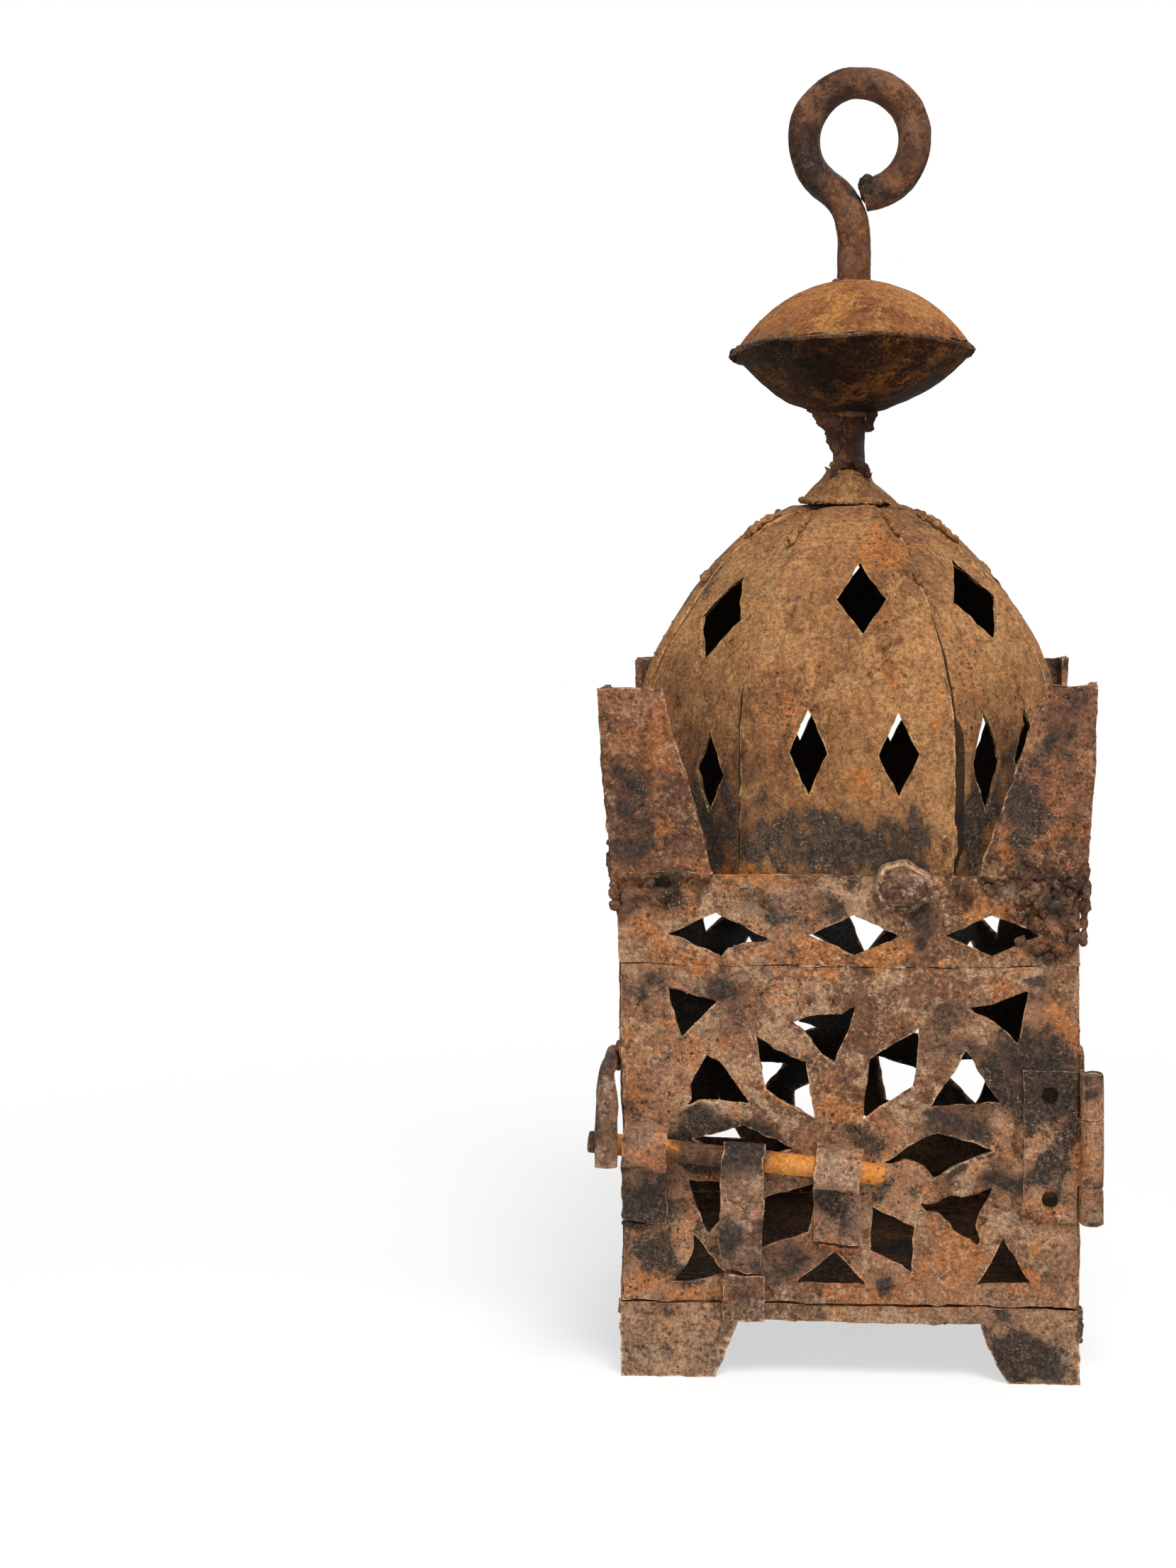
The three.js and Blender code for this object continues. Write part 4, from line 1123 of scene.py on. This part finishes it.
# Bar, bulb and collar
necks = [ring(raised(bar_frame, height), radius) for height, radius in ((101.3, 8.2), (41.2, 8.6))]
weld("bulb_neck_weld", "lantern", 1.7, *necks)
weld(
    "bulb_root_lump",
    "lantern",
    2.7,
    [at(-16.5, -3, 430), at(-13, -4, 425), at(-9, -4, 419), at(-6.5, -4, 411)],
    [at(-12, -4, 430), at(-9, -5, 424), at(-6, -5, 417), at(-5, -6, 408)],
    [at(-7, -5, 430), at(-5, -6, 423), at(-3, -7, 414)],
    [at(13, -4, 429), at(11, -5, 424), at(10, -5, 419)],
    [at(9, -5, 398), at(5, -7.6, 402), at(1, -7.6, 407), at(-2, -6, 413)],
    [at(-6, -5, 395), at(-4, -6.4, 401), at(0, -7.6, 404)],
    uneven=1.7,
    finish=bar_iron,
    smoke=0.35,
)
weld(
    "eye_tip_lump",
    "lantern",
    3.5,
    [at(9, -3, 532), at(10, -5, 528), at(10, -3, 524), at(10, 2, 527), at(9, 4, 531)],
    uneven=1.0,
    finish=bar_iron,
    smoke=0.8,
)
weld(
    "collar_weld",
    "lantern",
    1.6,
    ring(raised(bar_frame, collar_height), 8.4),
    ring(raised(bar_frame, 17), 7.6, start=130, end=260, steps=8),
    ring(raised(bar_frame, 0.4), 21.5, start=120, end=320, steps=14),
    uneven=1.0,
    finish=dome_rust,
)
bulb_rim = bulb_frame @ Matrix.Rotation(-math.atan(bulb_roll), 4, "Y")
rim_ends = [ring(bulb_rim, 54.6, start=turn - 9, end=turn + 9, steps=4) for turn in (0, 180)]
weld("bulb_rim_lumps", "lantern", 2.0, *rim_ends, uneven=1.5, finish=smoked_and_shaded_rust, smoke=0.5)

# Door, hinge and hook
weld(
    "hinge_weld",
    "door",
    2.6,
    [at(74.5, -101, 104), at(73.5, -101.6, 109), at(75, -101, 114), at(79, -101, 112)],
    [at(76, -101, 77), at(82, -101, 74), at(88, -101, 75)],
    uneven=1.6,
)
weld(
    "guide_weld",
    "door",
    1.8,
    [at(-12, -101.4, 60), at(-4, -101.6, 58.6), at(4, -101.4, 58)],
    [at(-98, -101.2, 69), at(-90, -101.4, 68)],
    uneven=1.5,
)
weld(
    "hook_weld",
    "lantern",
    1.5,
    [at(-101, -80, 145), at(-101.4, -86, 145.4), at(-101, -94, 144.4)],
    [at(-101, -80, 137.4), at(-101.4, -86, 137), at(-101, -94, 136.6)],
)
weld(
    "skirt_weld",
    "lantern",
    1.4,
    [at(100.4, -99.4, 34), at(100.6, -99.4, 27), at(100.4, -99.4, 20)],
    [at(-100.2, -99.4, 34), at(-100.4, -99.4, 29)],
)


def seam_lines(number, spans):
    """Lines along the rims of a wide petal, each from its hand, lowest height and length in millimetres."""
    turn = math.radians(45 * number)
    points, _ = refine(*piece_arrays(f"{petal_sides[number]}_petal"), 3 * MM)
    local = from_axis(points)
    across = local[:, 0] * math.cos(turn) + local[:, 1] * math.sin(turn)
    out = local[:, 0] * math.sin(turn) - local[:, 1] * math.cos(turn)
    lines = []
    for hand, low, length in spans:
        levels = np.arange(low, low + length, 3)
        edge = hand * across + 0.3 * out
        near = [np.where(np.abs(local[:, 2] - level) < 1.6, edge, -1e9) for level in levels]
        lines.append([Vector(points[np.argmax(share)]) for share in near])
    return lines


# Weld crusts on the dome's seams near its mouth, where the petals crowd together
for number in (0, 2, 4, 6):
    lines = seam_lines(number, ((-1, 368, 15), (1, seam_foot, 6), (1, 372, 12)))
    weld(f"{petal_sides[number]}_seam_weld", "lantern", 1.9, *lines, uneven=1.5, finish=dome_rust)


def turned_relief(name, place, finish, wide, high, thick, relief, rubbed_and_lit, seed):
    """An oval lump on a face, in millimetres, whose relief depends on the share of its radius and the turn.

    It is worn pale at one share of the radius, and paler still towards its upper left as a painted highlight.
    """
    rings, turns = 36, 96
    share = np.linspace(1 / rings, 1, rings)[:, None]
    angle = np.linspace(0, 2 * math.pi, turns, endpoint=False)[None, :]
    wander = 1 + 0.05 * np.sin(3 * angle + seed) + 0.04 * np.sin(7 * angle + 2 * seed)
    x = wide / 2 * share * np.cos(angle) * wander
    z = high / 2 * share * np.sin(angle) * wander
    y = -thick * relief(share, angle) * np.ones_like(x)
    front = np.stack([x, y, z], 2).reshape(-1, 3)
    back = front[-turns:] * (1, 0, 1)
    poles = [(0, front[:turns, 1].mean(), 0), (0, 0, 0)]
    points = np.vstack([front, back, poles]) * MM
    rim, foot, top, bottom = (rings - 1) * turns, rings * turns, (rings + 1) * turns, (rings + 1) * turns + 1
    cells = []
    for j in range(turns):
        k = (j + 1) % turns
        cells += [(top, j, k), (bottom, foot + k, foot + j)]
        cells += [(rim + j, foot + j, foot + k), (rim + j, foot + k, rim + k)]
        for i in range(rings - 1):
            a, b = i * turns + j, i * turns + k
            cells += [(a, a + turns, b + turns), (a, b + turns, b)]
    points = np.array([tuple(place @ Vector(p)) for p in points])
    # Painted highlight: the pale ring is paler towards the lump's upper left
    shown = 0.6 + 0.5 * np.cos(angle - 2.2)
    wear_and_highlight = (shown * np.exp(-(((share - rubbed_and_lit) / 0.14) ** 2))).reshape(-1)
    wear_and_highlight = np.concatenate([wear_and_highlight, np.zeros(turns + 2)])
    obj = mesh_object(name, points, np.array(cells), {"soot_and_shade": soot_and_shade(points) * 0.4, "wear_and_highlight": wear_and_highlight})
    shade(obj, lump_shade_turn)
    obj.data.materials.append(finish)
    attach(obj, "lantern")
    return obj


def boss_relief(share, angle):
    """A pale ring round a swirl of weld metal."""
    rim = np.exp(-(((share - 0.83) / 0.12) ** 2)) * (0.7 + 0.3 * np.cos(angle - 2.2))
    dome = np.clip(1 - (share / 0.74) ** 2, 0, 1) ** 0.6
    swirl = 0.5 + 0.5 * np.sin(2 * angle - 9 * share)
    lumps = 0.05 * np.sin(5 * angle + 8 * share) + 0.04 * np.sin(9 * angle - 13 * share)
    off_middle = np.clip(share * 4, 0, 1)
    return 0.2 + 0.4 * rim + 0.8 * dome * (0.7 + 0.3 * swirl * off_middle) + lumps * off_middle


def tab_relief(share, _):
    """A flat lip with a raised rim round its drilled hole."""
    rim = np.exp(-(((share - 0.3) / 0.12) ** 2))
    return 0.6 + 0.4 * rim - 0.35 * share**4 - 0.9 * np.clip(1 - share / 0.14, 0, 0.6)


boss_low, boss_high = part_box("band_boss")
boss_middle = (boss_low + boss_high) / 2
boss_place = Matrix.Translation((boss_middle.x, boss_high.y, boss_middle.z - 0.8 * MM))
boss = turned_relief("band_boss_swirl", boss_place, strap_rust, 26, 23, 9, boss_relief, 0.83, 2)
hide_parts("band_boss")
tab_place = Matrix.Translation(at(42.5, -94.6, 237)) @ Matrix.Rotation(math.radians(16), 4, "Z")
turned_relief("seam_tab", tab_place, dome_rust, 12, 22, 2.8, tab_relief, 0.3, 5)


def lip_ring(place, radius, width, height):
    """A flat, uneven lip round a circle, in millimetres."""
    turns, sides = 180, 8
    angle = np.linspace(0, 2 * math.pi, turns, endpoint=False)[:, None]
    around = np.linspace(0, 2 * math.pi, sides, endpoint=False)[None, :]
    wander = 1 + 0.22 * np.sin(7 * angle + 1.3) + 0.18 * np.sin(19 * angle + 2.6) + 0.12 * np.sin(41 * angle)
    out = radius + wander * width / 2 * np.cos(around)
    up = wander * height / 2 * np.sin(around) + 0.4 * np.sin(5 * angle + 1.3) + 0.2 * np.sin(13 * angle)
    local = np.stack([out * np.cos(angle), out * np.sin(angle), up], axis=2).reshape(-1, 3) * MM
    points = np.array([tuple(place @ Vector(p)) for p in local])
    triangles = []
    for i in range(turns):
        for j in range(sides):
            a, b = i * sides + j, i * sides + (j + 1) % sides
            c, d = ((i + 1) % turns) * sides + (j + 1) % sides, ((i + 1) % turns) * sides + j
            triangles += [(a, d, c), (a, c, b)]
    return points, np.array(triangles)


points, triangles = lip_ring(bulb_rim, bulb_radius - 0.4, 3.4, 2.0)
points = np.clip(points, cad_low, cad_high)
lip = mesh_object("bulb_lip", points, triangles, {"soot_and_shade": 0.35 + soot_and_shade(points) * 0.5})
shade(lip, lump_shade_turn)
lip.data.materials.append(weld_iron)
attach(lip, "lantern")


# Set


def white_share(tree):
    """1 where the camera, gloss or glass looks, 0 for the light that falls on the lantern."""
    path = add(tree, "ShaderNodeLightPath").outputs
    seen = path["Is Camera Ray"]
    for ray in ("Is Glossy Ray", "Is Transmission Ray"):
        seen = add(tree, "ShaderNodeMath", {0: seen, 1: path[ray]}, operation="MAXIMUM").outputs[0]
    return seen


# The floor is matt near the lantern, where its shadow falls, and plain white further out
floor_white = bpy.data.materials.new("pale_studio_floor")
tree = cleared_tree(floor_white)
place = add(tree, "ShaderNodeTexCoord").outputs["Object"]
away = add(tree, "ShaderNodeVectorMath", {0: place}, operation="LENGTH").outputs["Value"]
fade = {"Value": away, "From Min": 0.16, "From Max": 0.75, "To Min": 0.62, "To Max": 1.0}
fade = add(tree, "ShaderNodeMapRange", fade, interpolation_type="SMOOTHSTEP").outputs[0]
share = add(tree, "ShaderNodeMath", {0: white_share(tree), 1: fade}, operation="MULTIPLY").outputs[0]
matt = add(tree, "ShaderNodeBsdfDiffuse", {"Color": linear("#f2f2f2")}).outputs[0]
plain = add(tree, "ShaderNodeEmission", {"Color": linear("#ffffff"), "Strength": 1.0}).outputs[0]
mixed = add(tree, "ShaderNodeMixShader", {0: share, 1: matt, 2: plain}).outputs[0]
add(tree, "ShaderNodeOutputMaterial", {"Surface": mixed})

floor_mesh = bpy.data.meshes.new("floor")
floor_mesh.from_pydata([(-9, -9, 0), (9, -9, 0), (9, 9, 0), (-9, 9, 0)], [], [(0, 1, 2, 3)])
floor_mesh.materials.append(floor_white)
floor = new_object("floor", floor_mesh)

# Soft lamps: name, place and size in metres, power in watts
for name, place, size, power in (
    ("softbox_above", (0.3, -1.15, 1.85), 0.9, 46),
    ("softbox_right", (1.7, -1.5, 1.0), 0.9, 6),
    ("softbox_left", (-1.8, -1.1, 0.9), 1.0, 5),
    ("softbox_back", (0.5, 1.8, 1.4), 1.4, 12),
):
    data = bpy.data.lights.new(name, "AREA")
    data.shape = "DISK"
    data.size = size
    data.energy = power
    lamp = new_object(name, data)
    lamp.location = place
    lamp.rotation_euler = (Vector((0, 0, 0.28)) - Vector(place)).to_track_quat("-Z", "Y").to_euler()

world = bpy.data.worlds.new("studio")
bpy.context.scene.world = world
tree = cleared_tree(world)
strength = {"Value": white_share(tree), "To Min": 0.28, "To Max": 1.0}
strength = add(tree, "ShaderNodeMapRange", strength).outputs[0]
sky = add(tree, "ShaderNodeBackground", {"Color": linear("#ffffff"), "Strength": strength}).outputs[0]
add(tree, "ShaderNodeOutputWorld", {"Surface": sky})
bpy.context.scene.view_settings.view_transform = "Standard"

# Camera, fitted to the corners of the photographed lantern on an image of 1659 by 2212 pixels
sensor = 36
image_height = 2212
focal_pixels = 4140.6
centre_row = 900
camera_data = bpy.data.cameras.new("camera")
camera_data.sensor_width = sensor
camera_data.lens = sensor * focal_pixels / image_height
camera_data.shift_y = -(image_height / 2 - centre_row) / image_height
camera = new_object("camera", camera_data)
camera.location = (15.5 * MM, -1367.2 * MM, 400.1 * MM)
camera.rotation_euler = Euler([math.radians(a) for a in (86.739, 0.495, 5.632)])
bpy.context.scene.camera = camera
